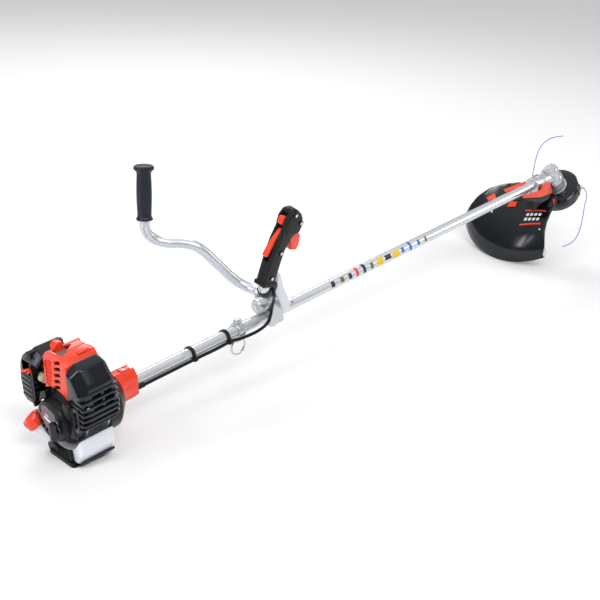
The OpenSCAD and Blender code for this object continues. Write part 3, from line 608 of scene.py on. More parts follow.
def clutch_housing():
    prof = [(13.1, -15.2), (20, -15), (22.2, -16), (23.4, -18), (24, -30), (26.5, -50), (29, -54), (40, -62), (61, -83), (63.4, -86), (64, -89), (64, -112.6), (60, -112.8), (60, -90), (56, -86), (34, -70), (34, -64), (15.05, -64), (15.05, -42), (13.1, -38)]
    bm = lathe(prof, 128, M=XAX)
    bm2 = new_bm()
    vs = []
    bm.free()
    # closed ring profile: build without caps
    n = 128
    rings = [[bm2.verts.new(XAX @ Vector((r * math.cos(2 * math.pi * j / n), r * math.sin(2 * math.pi * j / n), x))) for j in range(n)] for r, x in prof]
    for i in range(len(rings)):
        a, b = rings[i], rings[(i + 1) % len(rings)]
        for j in range(n):
            bm2.faces.new((a[j], a[(j + 1) % n], b[(j + 1) % n], b[j]))
    cone = solid(bm2)
    block = solid(prism(rnd([(-22, -20), (20, -20), (23, 20), (14, 36), (-10, 38), (-22, 24)], [5, 5, 9, 10, 10, 9]), "x", -72, -14), 3, 4, cut=[cyl(15.2, -80, -38, n=64), cyl(13.1, -45, 0, n=64), cyl(4.2, -80, 0, "x", (-17, -6), 32), cyl(56, -120, -68, n=96)])
    lug = solid(prism(rnd([(-14, -27), (8, -27), (10, -12), (-15, -12)], 3), "x", -58, -17), 2, 3, cut=[cyl(15.2, -70, -38, n=64), cyl(13.1, -45, 0, n=64)])
    pad = solid(prism(rnd([(-44, -9), (-22, -9), (-22, 7), (-44, 7)], 3), "z", 34, 39.5), 1.2, 3, cut=[cyl(5, 37.5, 44, "z", (-33, -1), 32)])
    ribs = []
    for a in (20, 55, 90, 125, 160, 215, 325):
        r = prism([(-88, 60), (-62, 36), (-50, 24), (-50, 20), (-88, 40)], "y", -1.6, 1.6)
        bmesh.ops.transform(r, matrix=Matrix.Rotation(math.radians(a - 90), 4, "X"), verts=r.verts)
        ribs.append(solid(r, 0.8, 2, cut=[lathe([(0.01, -87), (54, -87), (38, -70.5), (33, -68), (0.01, -60)], 64, M=XAX)]))
    screw = solid(cyl(4.3, 35, 38.6, "z", (-33, -1), 32), 0.8, 2, cut=[box((-39, -1.6, 37.6), (-27, -0.4, 40))])
    tagp = solid(prism(rnd([(-21, -8), (-17, -8), (-17, 5), (-21, 5)], 1), "z", 37.0, 37.9), 0.2, 1)
    for f in cone.data.polygons:
        f.material_index = 3 if f.center.x < -64 else 0
    for r in ribs:
        for f in r.data.polygons:
            f.material_index = 3
    piece("clutch_case_skin", [cone, block, lug, pad, *ribs, (screw, 1), (tagp, 2)], ["red_plastic", "steel", "mark_white", "black_plastic"], node="clutch_case", body="chassis")


# ------------------------------------------------------------------ handlebar and controls
HB = [(196, 195, 261), (190.7, 191.2, 232), (187.6, 189.2, 214), (188.6, 188.2, 203), (193, 186, 191.5), (201, 181.5, 181.5), (213, 173, 173), (229.5, 160, 168),
      (248, 142, 167), (266, 123, 161), (281, 110.5, 146), (299, 102, 122), (317, 95, 98), (335, 87.5, 74), (350, 77, 57), (361, 61, 47.5), (366, 44, 44.3), (367, 28, 44), (367, 0, 44), (367, -28, 44),
      (362, -48, 45), (350, -64, 56), (330, -78, 84),
      (304, -92, 122), (286, -104, 156), (258, -128, 178), (228, -154, 189), (204, -171, 191), (183, -183, 194), (171.5, -187.4, 204), (172.8, -188.7, 215.3), (177.4, -191, 232.5), (181, -192.9, 245.5)]
CABLE = [(-36, -17, -6), (-24, -17, -6), (-10, -17, -6), (30, -17, -6), (80, -17, -6), (140, -17, -6), (190, -18, -6),
         (236, -17, -6), (262, -21, -8), (300, -24, -8), (324, -26, -3), (337, -27, 5), (343, -27, 16), (346, -28, 31), (344, -33, 45), (338, -44, 66), (322, -60, 90), (290, -84, 112), (268, -100, 142),
         (246, -122, 160), (222, -150, 170), (203, -178, 176), (193, -193, 184), (188.5, -196, 196), (187.6, -196.5, 209)]


def handlebar():
    piece("handlebar_tube_skin", temp(sweep(HB, 11, 48, 8)), ["bar_aluminium"], node="handlebar_tube", body="handlebar")
    # left grip, fluted
    prof = [(11.6, 3), (16.6, 3), (17.8, 4.5), (17.8, 6.5), (16.0, 9), (14.9, 13), (15.4, 26), (16.2, 46), (16.4, 62), (16.0, 82), (15.2, 100), (15.6, 105), (18.6, 108.5), (21.2, 110.5), (21.8, 113.5), (20.6, 117.5), (16.5, 119.5), (0.01, 119.5)]

    def flute(a, r, z):
        return -0.035 * (0.5 + 0.5 * math.cos(8 * a)) ** 3 if 13 < z < 104 else 0
    n = []
    for (r0, z0), (r1, z1) in zip(prof, prof[1:]):
        k = max(1, int(abs(z1 - z0) / 4))
        n += [(r0 + (r1 - r0) * i / k, z0 + (z1 - z0) * i / k) for i in range(k)]
    n.append(prof[-1])
    bm = lathe([(0.01, 3.1)] + n, 128, wave=flute)
    g = solid(bm, cut=[cyl(11.6, -20, 45, "z", (0, 0), 48)])
    piece("left_grip_skin", g, ["grip_rubber"], LGRIP, node="left_grip", body="handlebar", sharp=40)

    # throttle housing halves
    body = rnd([(-27, -10), (2.5, -10), (2.5, 40), (4, 66), (14, 92), (27, 100), (30, 118), (23, 137), (6, 148), (-8, 146), (-17, 130), (-18, 108), (-24, 84), (-27, 50)],
               [6, 6, 10, 10, 8, 8, 10, 12, 14, 12, 10, 8, 10, 10], 5)
    head = rnd([(8, 96), (25, 101), (28, 118), (22, 134), (5, 146), (-7, 144), (-15, 130), (-15, 110), (-6, 98)], [6, 8, 10, 10, 12, 10, 10, 8, 6], 5)

    def pockets():
        return [prism([(-2, 80), (-2, 107), (24, 107), (56, 99), (56, 40), (14, 40), (3, 62)], "y", -5.8, 5.8),
                prism([(-60, 40), (-20, 40), (-15, 60), (-5, 92), (-5, 111), (-16, 112), (-60, 112)], "y", -5.8, 5.8),
                box((-30, -6.3, 113), (-9, 6.3, 139)), cyl(11.7, -30, 25, "z", (-11, 0), 48)]
    for side, lo, hi, nm in ((1, 0.25, 40, "throttle_housing_left"), (-1, -40, -0.25, "throttle_housing_right")):
        a = solid(prism(body, "y", -12.5, 12.5), 4.2, 5, 35, cut=pockets(), keep=[box((-60, lo, -30), (60, hi, 170))])
        b = solid(prism(head, "y", -16, 16), 4.5, 5, 35, cut=pockets(), keep=[box((-60, lo, -30), (60, hi, 170))])
        collar = solid(prism(rnd([(-28.6, -10.4), (4, -10.4), (4, -2), (-28.6, -2)], 2), "y", -14, 14), 3, 3, 35, cut=pockets(), keep=[box((-60, lo, -30), (60, hi, 170))])
        ridge = solid(prism(rnd([(-24, 52), (-21, 52), (-12, 84), (-14, 104), (-17, 104), (-16, 84)], 1), "y", -13.2, 13.2), 0.6, 2, cut=pockets(), keep=[box((-60, lo, -30), (60, hi, 170))])
        parts = [a, b, collar, ridge]
        if side < 0:
            for x, z, y in ((0, 138, -15.8), (20, 122, -15.8), (-6, 60, -12.3), (-11, 8, -12.3)):
                boss = lathe([(3.5, 0), (5.4, 0), (5.4, 1.2), (4.8, 1.8), (3.5, 1.8)], 32, M=Matrix.Translation((x, y, z)) @ Matrix.Rotation(math.radians(90), 4, "X"))
                parts.append(solid(boss))
        else:
            parts.append(solid(cyl(2, -9, 1, "y", (8, 97), 24)))
            parts.append(solid(cyl(2, -9, 1, "y", (-11, 102), 24)))
        piece(nm + "_skin", parts, ["black_plastic"], RGRIP, node=nm, body="handlebar", weld=False)
    # ridged trigger
    front = [(38, 95), (43, 84)]
    pts = [(3.5, 92), (4, 100), (8, 102), (24, 98), (38, 95)]
    for k in range(7):
        t = k / 6
        x, z = 42.5 + 2.2 * math.sin(t * 3), 88 - 24 * t
        pts += [(x + 0.9, z), (x - 0.7, z - 2.0)]
    pts += [(38, 61), (25, 62), (21, 76), (15, 86)]
    tr = solid(prism(pts, "y", -5, 5), 0.9, 2, 30, cut=[cyl(2.06, -20, 20, "y", (8, 97), 24)])
    piece("throttle_trigger_skin", tr, ["red_plastic"], RGRIP, node="throttle_trigger", body="trigger")
    lk = rnd([(-8, 98), (-7, 105), (-14, 107), (-29, 80), (-38, 54), (-35, 50), (-31, 52), (-26, 68), (-17, 90)], [1, 2, 3, 6, 2, 2, 2, 4, 4])
    lev = solid(prism(lk, "y", -5, 5), 1.4, 3, 35, cut=[cyl(2.06, -20, 20, "y", (-11, 102), 24)])
    piece("lockout_lever_skin", lev, ["orange_plastic"], RGRIP, node="lockout_lever", body="lockout")
    sw = solid(prism(rnd([(-10, 114.5), (-20, 115.5), (-23, 120), (-22, 128), (-18, 131.5), (-10, 131.5)], [0, 3, 3, 3, 3, 0]), "y", -5.5, 5.5), 1.4, 3)
    bars = [solid(prism([(-23.4, z), (-22, z), (-22, z + 1.2), (-23.4, z + 1.2)], "y", -4, 4), 0.4, 1) for z in (119, 122, 125)]
    piece("stop_switch_skin", [sw, *bars], ["orange_plastic"], RGRIP, node="stop_switch", body="switch")
    boot = solid(sweep([(214, -164.5, 190.4), (204, -171, 191), (192, -178, 192), (183, -183, 194), (176, -186, 199), (172.3, -187.4, 206)], lambda t: 12.2 + 2.2 * t, 32, 4), 0.8, 2, cut=[])
    sleeve = recut(boot, [sweep(HB[-8:], 11.3, 32, 8)])
    piece("grip_shoulder", sleeve, ["black_plastic"], body="handlebar")
    # cable
    o = piece("throttle_cable_run", temp(sweep(CABLE, 3.6, 20, 8)), ["cable_sheath"], node=["throttle_cable", "upper_cable"])
    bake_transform(o)
    boot = sweep([(-16, -17, -6), (-8, -17, -6), (2, -17, -6)], 4.9, 24, 4)
    piece("cable_boot", solid(boot, 0.8, 2), ["black_plastic"], body="chassis")


def bracket():
    body = prism(rnd([(350, -18), (392, -18), (392, 43.2), (350, 43.2)], [4, 4, 3, 3]), "y", -20, 20)
    a = solid(body, 3.2, 4, 35, cut=[cyl(13.02, 340, 420, n=96), cyl(11.45, -60, 60, "y", (367, 44), 64), box((345, -21, 20), (356, -9, 36)), box((345, 9, 20), (356, 21, 36))])
    col = solid(prism(rnd([(376, -30), (390, -30), (394, 0), (393, 58), (381, 62), (377, 4)], 3), "y", -26, -13), 2.5, 3, cut=[cyl(13.02, 340, 420, n=96), cyl(11.45, -60, 60, "y", (367, 44), 64)])
    flare = []
    for s in (-1, 1):
        f = lathe([(11.6, 0), (15.5, 0), (18, 5), (18.6, 8), (11.6, 8)], 64, M=Matrix.Translation((367, s * 20, 44)) @ Matrix.Rotation(math.radians(-90 * s), 4, "X"))
        flare.append(solid(f, cut=[box((340, -60, 43.3), (400, 60, 80)), cyl(13.02, 340, 420, n=96)]))
    web = solid(prism(rnd([(352, -16), (366, -28), (378, -28), (390, -16)], 4), "y", -9, 9), 2.5, 3, cut=[cyl(13.02, 340, 420, n=96)])
    piece("handle_bracket_skin", [a, col, *flare, web], ["cast_aluminium"], node="handle_bracket", body="chassis")
    top = prism(rnd([(350, 44.7), (392, 44.7), (392, 57), (386, 61), (354, 61), (350, 57)], [1, 1, 4, 4, 4, 4]), "y", -20, 20)
    t = solid(top, 2.4, 4, 35, cut=[cyl(11.45, -60, 60, "y", (367, 44), 64), cyl(3.4, 40, 74, "z", (385.5, 0), 32)])
    fl = []
    for s in (-1, 1):
        f = lathe([(11.6, 0), (15.5, 0), (18, 5), (18.6, 8), (11.6, 8)], 64, M=Matrix.Translation((367, s * 20, 44)) @ Matrix.Rotation(math.radians(-90 * s), 4, "X"))
        fl.append(solid(f, cut=[box((340, -60, 0), (400, 60, 44.7)), box((373, -60, 40), (400, 60, 80))]))
    piece("bracket_clamp_skin", [t, *fl], ["cast_aluminium"], node="bracket_clamp", body="chassis")
    c = solid(prism([(16.5 * math.cos(k * math.pi / 48), 34 + 16.5 * math.sin(k * math.pi / 48)) for k in range(96)], "x", 326, 352), 3, 4, cut=[cyl(5, 321, 332, "x", (0, 34), 48)])
    lip = lathe([(6.2, -0.9), (7.6, -0.9), (7.6, 0.4), (6.2, 0.4)], 48, M=Matrix.Translation((326, 0, 34)) @ XAX)
    piece("bracket_cap_skin", [c, solid(lip)], ["cast_aluminium"], node="bracket_cap", body="chassis")
    stem = solid(cyl(3.1, 45, 62, "z", (385.5, 0), 32), 0.3, 1)
    hub = solid(cyl(6.4, 62, 74, "z", (385.5, 0), 48), 1.6, 3)
    wings = []
    for s in (-1, 1):
        w = prism(rnd([(s * 4, 65), (s * 12, 66), (s * 17, 72), (s * 16, 80), (s * 11, 79), (s * 4, 73)], 3), "x", 383, 388)
        wings.append(solid(w, 1.5, 3))
    piece("clamp_knob_skin", [stem, hub, *wings], ["white_plastic"], node="clamp_knob", body="wing_knob")
    # hanger clamp with bolt ears
    ring = prism(rnd([(y, z) for y, z in [(18 * math.cos(k * math.pi / 32), 18 * math.sin(k * math.pi / 32)) for k in range(64)]], 0), "x", 262, 280)
    r = solid(ring, 1.4, 3, 30, cut=[cyl(13.05, 255, 300, n=96)])
    lug = solid(prism(rnd([(-5, -28), (5, -28), (5, -14), (-5, -14)], 2.5), "x", 265, 277), 1.2, 3, cut=[cyl(4.3, 255, 290, "x", (0, -21), 32), cyl(13.05, 255, 300, n=96)])
    ears = solid(prism(rnd([(-5, 15), (5, 15), (5, 27), (-5, 27)], 2.5), "x", 262, 280), 1.2, 3, cut=[box((260, -0.7, 16), (283, 0.7, 30)), cyl(13.05, 255, 300, n=96)])
    bolt = solid(cyl(2.6, -8, 8, "y", (271, 22), 6), 0.4, 1)
    piece("hanger_clamp_skin", [r, lug, ears, (bolt, 1)], ["cast_aluminium", "steel"], node="hanger_clamp", body="chassis")
    clips = []
    for x in (136, 233):
        b = solid(prism([(15.9 * math.cos(k * math.pi / 32), 15.9 * math.sin(k * math.pi / 32)) for k in range(64)], "x", x - 4, x + 4), 1, 2, 30, cut=[cyl(13.05, x - 8, x + 8, n=96)])
        c2 = solid(prism([(-17 + 6 * math.cos(k * math.pi / 16), -6 + 6 * math.sin(k * math.pi / 16)) for k in range(32)], "x", x - 4, x + 4), 1, 2, 30, cut=[cyl(13.05, x - 8, x + 8, n=96), cyl(4, x - 8, x + 8, "x", (-17, -6), 32)])
        clips += [b, c2, solid(box((x - 3, 13, -4), (x + 3, 17.5, 4)), 1, 2)]
    piece("cable_clips_skin", clips, ["black_plastic"], node="cable_clips", body="chassis")


# ------------------------------------------------------------------ cutting head
DOME = [(0, 27), (30, 27.8), (60, 30), (86, 33.4), (112, 38), (134, 44.4), (152, 52), (167, 60.4), (180, 70), (189, 80), (197, 93)]


def dome_z(x, y):
    r = math.hypot(x - 62, y - 68)
    for (r0, z0), (r1, z1) in zip(DOME, DOME[1:]):
        if r0 <= r <= r1:
            return z0 + (z1 - z0) * (r - r0) / (r1 - r0)
    return 93


def patch(corners, lift=0.5, n=8, thick=1.2):
    """thin pad laid on the dome: corners p00, p10, p11, p01 in the head's plane."""
    p = [Vector(c) for c in corners]
    bm = new_bm()
    top, bot = [], []
    for i in range(n + 1):
        rt, rb = [], []
        for j in range(n + 1):
            u, v = i / n, j / n
            q = p[0] * (1 - u) * (1 - v) + p[1] * u * (1 - v) + p[2] * u * v + p[3] * (1 - u) * v
            z = dome_z(q.x, q.y)
            rt.append(bm.verts.new((q.x, q.y, z - lift)))
            rb.append(bm.verts.new((q.x, q.y, z - lift + thick)))
        top.append(rt)
        bot.append(rb)
    for i in range(n):
        for j in range(n):
            bm.faces.new((top[i][j], top[i + 1][j], top[i + 1][j + 1], top[i][j + 1]))
            bm.faces.new((bot[i][j], bot[i][j + 1], bot[i + 1][j + 1], bot[i + 1][j]))
    for k in range(n):
        bm.faces.new((top[0][k], top[0][k + 1], bot[0][k + 1], bot[0][k]))
        bm.faces.new((top[n][k], bot[n][k], bot[n][k + 1], top[n][k + 1]))
        bm.faces.new((top[k][0], bot[k][0], bot[k + 1][0], top[k + 1][0]))
        bm.faces.new((top[k][n], top[k + 1][n], bot[k + 1][n], bot[k][n]))
    return temp(bm)


def cutting_head():
    # shield
    inner = [(197 - 2.6, 94), (186.5, 81.5), (177, 73), (164, 63), (150, 55.4), (132, 47.6), (111, 41.2), (86, 36.5), (60, 33.2), (30, 31), (0.01, 30.2)]
    dome = lathe([(max(r, 0.01), z) for r, z in DOME] + inner, 192, M=Matrix.Translation((62, 68, 0)))
    outl = rnd([(30, 30), (34, 98), (54, 146), (78, 182), (108, 208), (150, 228), (176, 240), (300, 240), (320, 60), (300, -100), (250, -78), (222, -71), (203, -67), (178, -60), (152, -50), (122, -42), (94, -39), (62, -38), (40, -36)],
               [4, 24, 30, 30, 30, 30, 0, 0, 0, 0, 0, 6, 10, 20, 20, 20, 20, 12, 8], 5)
    sh = solid(dome, 0, keep=[prism(outl, "z", -5, 120)], cut=[cyl(30.2, -60, 60, "z", (0, 0), 96)])
    b = sh.modifiers.new("b", "BEVEL")
    b.width = 1.0
    b.segments = 2
    b.limit_method = "ANGLE"
    b.angle_limit = math.radians(50)
    bake(sh)
    pads = [patch([(58, 60), (60, 140), (104, 190), (92, 60)], 2.0, 14, 3), patch([(96, -20), (96, 56), (156, 56), (158, -34)], 1.6, 14, 2.6)]
    rib = [patch([(46, 36), (50, 37), (128, 160), (123, 164)], 3.0, 16, 4), patch([(44, -26), (50, -26), (62, 44), (56, 46)], 4.0, 10, 5),
           patch([(150, -50), (156, -48), (190, 50), (183, 52)], 1.4, 12, 2.4)]
    piece("shield_skin", [sh, *pads, *rib], ["black_gloss"], HEAD, node="shield", body="chassis", weld=False, sharp=40)
    # warm trim pads and plain marks on the shield
    orange = [patch([(73, 130), (26, 80), (34, 68), (80, 118)], 2.6, 8, 3.4), patch([(111, 169), (92, 152), (108, 132), (127, 148)], 3.0, 6, 2.0), patch([(122, 89), (104, 88), (98, 66), (114, 64)], 3.0, 5, 2.0),
              patch([(100, 29), (86, 31), (83, 25), (96, 22)], 2.6, 3, 2.0), patch([(44, -17), (58, -28), (66, -36), (50, -30)], 1.6, 3, 3)]
    marks = [patch([(112, 30), (92, -24), (96, -26), (116, 28)], 2.4, 6, 0.8), patch([(158, 26), (132, -28), (136, -30), (162, 24)], 2.4, 6, 0.8)]
    white = []
    for k in range(4):
        t = k / 4
        a = Vector((121, 21)).lerp(Vector((103, -22)), t)
        c = Vector((121, 21)).lerp(Vector((103, -22)), t + 0.16)
        d = Vector((8, -0.8))
        white.append(patch([a, c, c + d, a + d], 2.4, 2, 0.8))
        a2, c2 = a + Vector((15, -1)), c + Vector((15, -1))
        white.append(patch([a2, c2, c2 + d, a2 + d], 2.4, 2, 0.8))
    piece("shield_marks", [*[(o, 0) for o in orange], *[(m, 0) for m in marks], *[(w, 1) for w in white]], ["orange_plastic", "mark_white"], HEAD, body="chassis", weld=False)
    screws = []
    for x, y in ((50, -7), (150, -35), (150, 126)):
        z = dome_z(x, y)
        screws.append(solid(cyl(3.4, z - 4.2, z + 1, "z", (x, y), 24), 0.8, 2, cut=[box((x - 4, y - 0.5, z - 5), (x + 4, y + 0.5, z - 3.4))]))
    piece("shield_screws", screws, ["steel"], HEAD, body="chassis")

    # gear case
    tubec = solid(cyl(22, 1398, 1432, "x", n=96), 2.5, 4, cut=[cyl(13.05, 1390, 1438, n=96), box((1395, -1.4, -40), (1433, 1.4, -8))])
    neck = solid(lathe([(0.01, 1430), (20.5, 1430), (19, 1436), (18.4, 1450), (19.6, 1468), (21.5, 1484), (0.01, 1484)], 96, M=XAX), 0)
    lug = solid(prism(rnd([(-16, -33), (16, -33), (18, -10), (-18, -10)], 4), "x", 1399, 1431), 2.5, 3, cut=[cyl(13.05, 1390, 1438, n=96), box((1395, -1.4, -40), (1433, 1.4, -8))])
    boltear = solid(prism(rnd([(-8, 16), (8, 16), (6, 26), (-6, 26)], 3), "x", 1402, 1428), 2, 3, cut=[cyl(13.05, 1390, 1438, n=96), box((1395, -1, 10), (1433, 1, 30))])
    clamp = piece("gear_case_clamp", [tubec, neck, lug, boltear], ["cast_aluminium"], body="chassis")
    boss = solid(lathe([(0.01, -42), (13.5, -42), (16, -41), (17, -38.5), (17.4, -34), (21, -33), (23, -30), (23.4, -18), (23.6, 2), (25.5, 5), (27, 9), (27, 31), (26, 33), (14.2, 33), (14.2, 12), (0.01, 12)], 96), 0)
    cap = solid(lathe([(0.01, -43.2), (8.5, -43.2), (9.5, -42.2), (9.5, -41.5), (0.01, -41.5)], 48), 0)
    fins = []
    for a in (-60, -30, 0, 30, 60, 120, 150, 180, 210, 240):
        f = box((22, -1.2, -26), (25.4, 1.2, 4))
        bmesh.ops.transform(f, matrix=Matrix.Rotation(math.radians(a), 4, "Z"), verts=f.verts)
        fins.append(solid(f, 0.8, 2))
    for a in (45, 135, 225, 315):
        c, s = 24.2 * math.cos(math.radians(a)), 24.2 * math.sin(math.radians(a))
        fins.append(solid(cyl(4, 6, 30, "z", (c, s), 24), 1, 2))
    piece("gear_case_skin", [boss, cap, *fins], ["cast_aluminium"], HEAD, node="gear_case", body="chassis")
    bolts = [solid(cyl(3.3, -9.5, 9.5, "y", (1415, 21.5), 6), 0.5, 1)]
    piece("gear_case_bolt", bolts, ["steel"], body="chassis")
    # bracket between gear case and shield
    br = prism(rnd([(1398, -19), (1440, -19), (1440, -12), (1478, -12), (1494, -28), (1476, -48), (1440, -62), (1398, -74)], [1, 1, 1, 2, 4, 4, 4, 4]), "y", -14, 14)
    cut_head = lathe([(0.01, -60), (27.4, -60), (27.4, 60), (0.01, 60)], 64, M=Matrix.Translation((1500, 0, 0)) @ Matrix.Rotation(math.radians(142), 4, "Y"))
    cut_dome = lathe([(0.01, 26.6), (60, 29.6), (112, 37.6), (152, 51.6), (180, 69.6), (240, 90), (240, 140), (0.01, 140)], 96,
                     M=Matrix.Translation((1500, 0, 0)) @ Matrix.Rotation(math.radians(142), 4, "Y") @ Matrix.Translation((62, 68, 0)))
    o = solid(br, 2.0, 3, 35, cut=[cyl(22.3, 1380, 1440, n=64), cyl(19.6, 1430, 1500, n=64), box((1390, -19, -36), (1434, 19, 4)), cut_head, cut_dome])
    inv = S.inverted() @ HEAD
    bar = patch([(74, 62), (68, 68), (24, -2), (30, -8)], 6.5, 8, 8.5)
    bar.data.transform(inv)
    tri = solid(prism(rnd([(1300, 3.5), (1307, 9.5), (1388, -1), (1410, 15.5), (1430, 13), (1452, -26), (1392, -21.5)], [1, 1, 3, 2, 2, 2, 2]), "y", -36.5, -33), 1.0, 2)
    web = solid(box((1398, -34, -40), (1446, -10, -30)), 1.2, 2)
    gusset = solid(prism(rnd([(1303, 4), (1388, -4), (1450, -26), (1440, -42), (1400, -42), (1330, -14)], 2), "y", -34.5, -31), 1.0, 2)
    piece("shield_bracket_skin", [(o, 1), (web, 1), (gusset, 1), (tri, 0), (bar, 0)], ["orange_plastic", "black_plastic"], node="shield_bracket", body="chassis", weld=False)

    # spool housing with lobes
    def closed(prof, n=160, wave=None):
        bm = new_bm()
        rings = []
        for r, z in prof:
            ring = []
            for j in range(n):
                a = 2 * math.pi * j / n
                rr = r * (1 + (wave(a, r, z) if wave else 0))
                ring.append(bm.verts.new((rr * math.cos(a), rr * math.sin(a), z)))
            rings.append(ring)
        for i in range(len(rings)):
            a, b = rings[i], rings[(i + 1) % len(rings)]
            for j in range(n):
                bm.faces.new((a[j], a[(j + 1) % n], b[(j + 1) % n], b[j]))
        return bm
    D = 63
    prof = [(5, 50.1), (42, 50.1), (46, 50.6), (D - 6, 53.4), (D - 2, 56), (D, 60), (D, 72), (D, 84), (D - 1.4, 88), (D - 5, 91), (49, 92.6), (47, 94.5), (46, 98), (43, 100.6), (40, 101), (34.5, 101), (34.5, 98), (43, 97), (44, 90), (D - 6, 88), (D - 3, 84), (D - 3, 62), (D - 7, 57), (44, 54), (5, 54)]
    housing = solid(closed(prof, 160, lambda a, r, z: -0.03 * (0.5 + 0.5 * math.cos(6 * a + 1.2)) ** 4 if r > D - 1 else 0), 0)
    hp = []
    for a in (0, 180):
        for k in range(3):
            f = solid(prism(rnd([(D - 12, 66), (D + 0.6, 66), (D + 0.6, 80), (D - 12, 80)], 1.5), "y", -9, 9), 1.5, 2) if k == 0 and False else None
    ribs = []
    for k in range(12):
        f = prism(rnd([(46.5, 92), (58, 90.6), (58, 93.2), (50, 97.5), (46, 98)], 1), "y", -1.5, 1.5)
        bmesh.ops.transform(f, matrix=Matrix.Rotation(math.radians(30 * k + 10), 4, "Z"), verts=f.verts)
        ribs.append(solid(f, 0.7, 2))
    # release tabs either side
    for a in (70, 250):
        t = prism(rnd([(D - 3, 62), (D + 1.6, 64), (D + 1.6, 82), (D - 3, 84)], 1.2), "y", -13, 13)
        bmesh.ops.transform(t, matrix=Matrix.Rotation(math.radians(a), 4, "Z"), verts=t.verts)
        ribs.append(solid(t, 1.0, 2))
    piece("head_housing_skin", [housing, *ribs], ["black_gloss"], HEAD, node="head_housing", body="cutting_head", weld=False)
    eyelets = []
    for a in (0, 180):
        R = Matrix.Rotation(math.radians(a), 4, "Z")
        d = Vector((4.5, 7.4, 0)).normalized()
        q = Vector((0, 0, 1)).rotation_difference(d).to_matrix().to_4x4()
        e = lathe([(3.2, 0), (4.6, 0), (4.9, 6), (6.2, 7.4), (6.2, 8.6), (4.4, 9.6), (3.2, 9.2)], 40, M=R @ Matrix.Translation((28.5, 54, 73)) @ q)
        eyelets.append(solid(e))
    piece("line_eyelets_skin", eyelets, ["steel"], HEAD, node="line_eyelets", body="cutting_head")
    kp = [(0.01, 121), (12, 120.8), (20, 120), (27, 117.6), (31.5, 114.5), (33.6, 111), (34, 107), (34, 94.5), (31, 94.5), (31, 106), (26, 112), (12, 114.5), (12, 90), (5.2, 90), (5.2, 114.5), (0.01, 114.5)]
    knob = lathe(kp, 160, wave=lambda a, r, z: -0.07 * (0.5 + 0.5 * math.cos(8 * a)) ** 2 if (r > 31.2 and z > 96) else 0)
    piece("bump_knob_skin", solid(knob), ["black_gloss"], HEAD, node="bump_knob", body="bump", sharp=35)
    LINE = [(-26, 48), (-29, 53), (-32, 59), (-30, 70), (-20, 82), (-2, 93), (24, 101), (54, 113), (86, 124), (116, 130), (142, 127), (164, 110), (178, 84)]
    ls = []
    for s in (1, -1):
        ls.append(temp(sweep([(-x * s, y * s, 73) for x, y in (LINE if s > 0 else LINE[:-1])], 1.35, 16, 8)))
    piece("cutting_lines_skin", ls, ["cutting_line"], HEAD, node="cutting_lines", body="cutting_head")


tube()
engine()
tank()
clutch_housing()
handlebar()
bracket()
cutting_head()


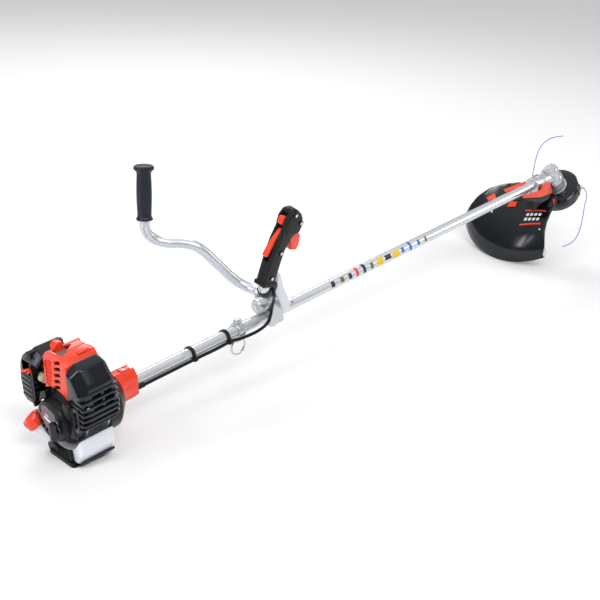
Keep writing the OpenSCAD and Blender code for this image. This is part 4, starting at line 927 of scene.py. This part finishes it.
# ------------------------------------------------------------------ stage
def stage():
    me = bpy.data.meshes.new("floor")
    me.from_pydata([(-30, -30, 0), (30, -30, 0), (30, 30, 0), (-30, 30, 0)], [], [(0, 1, 2, 3)])
    fl = bpy.data.objects.new("floor", me)
    m = bpy.data.materials.new("floor")
    m.use_nodes = True
    b = m.node_tree.nodes["Principled BSDF"]
    b.inputs["Base Color"].default_value = (0.90, 0.90, 0.90, 1)
    b.inputs["Roughness"].default_value = 0.75
    b.inputs["Specular IOR Level"].default_value = 0.15
    me.materials.append(m)
    scene.collection.objects.link(fl)
    fl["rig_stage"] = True
    w = bpy.data.worlds.new("studio")
    scene.world = w
    w.use_nodes = True
    nt = w.node_tree
    bg = nt.nodes["Background"]
    tc = nt.nodes.new("ShaderNodeTexCoord")
    sp = nt.nodes.new("ShaderNodeSeparateXYZ")
    cr = nt.nodes.new("ShaderNodeValToRGB")
    nt.links.new(tc.outputs["Generated"], sp.inputs["Vector"])
    nt.links.new(sp.outputs["Z"], cr.inputs["Fac"])
    nt.links.new(cr.outputs["Color"], bg.inputs["Color"])
    cr.color_ramp.elements[0].position = 0.0
    cr.color_ramp.elements[0].color = (0.20, 0.21, 0.23, 1)
    cr.color_ramp.elements[1].position = 0.85
    cr.color_ramp.elements[1].color = (1.0, 1.0, 1.0, 1)
    mid = cr.color_ramp.elements.new(0.5)
    mid.color = (0.42, 0.43, 0.45, 1)
    bg.inputs["Strength"].default_value = 0.86
    for name, loc, size, power, target in (
        ("key", (-1.2, -2.4, 3.2), (2.4, 1.2), 62, (0, 0, 0.2)),
        ("rim", (1.2, 2.6, 2.4), (2.4, 0.8), 40, (0, 0, 0.2)),
        ("side", (-3.0, 0.2, 1.5), (0.6, 1.6), 26, (-0.8, 0, 0.2)),
        ("front", (2.6, -1.6, 1.4), (0.8, 1.4), 18, (0.7, 0, 0.2)),
    ):
        ld = bpy.data.lights.new(name, "AREA")
        ld.shape = "RECTANGLE"
        ld.size, ld.size_y = size
        ld.energy = power
        lo = bpy.data.objects.new(name, ld)
        lo.location = loc
        lo.rotation_euler = (Vector(target) - Vector(loc)).to_track_quat("-Z", "Y").to_euler()
        scene.collection.objects.link(lo)
    cd = bpy.data.cameras.new("camera")
    cd.lens = 65.1
    cd.sensor_width = 36
    cd.clip_end = 100
    cd.dof.use_dof = False
    cam = bpy.data.objects.new("camera", cd)
    R = Matrix.Rotation(-TAU, 3, "Y")
    right = R @ Vector((0.6947, -0.7193, 0))
    up = R @ Vector((0.3410, 0.3293, 0.8805))
    back = R @ Vector((-0.6334, -0.6116, 0.4741))
    loc = S @ Vector((-1087.1, -1497.3, 1159.4))
    cam.matrix_world = Matrix(((right.x, up.x, back.x, loc.x), (right.y, up.y, back.y, loc.y), (right.z, up.z, back.z, loc.z), (0, 0, 0, 1)))
    scene.collection.objects.link(cam)
    scene.camera = cam
    scene.view_settings.view_transform = "Standard"
    scene.view_settings.look = "None"


stage()


def plain(v):
    return [[float(c) for c in p] for p in v] if hasattr(v[0], "__len__") else [float(c) for c in v]


{"cad": plain(cad_bounds), "visual": plain(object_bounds())}
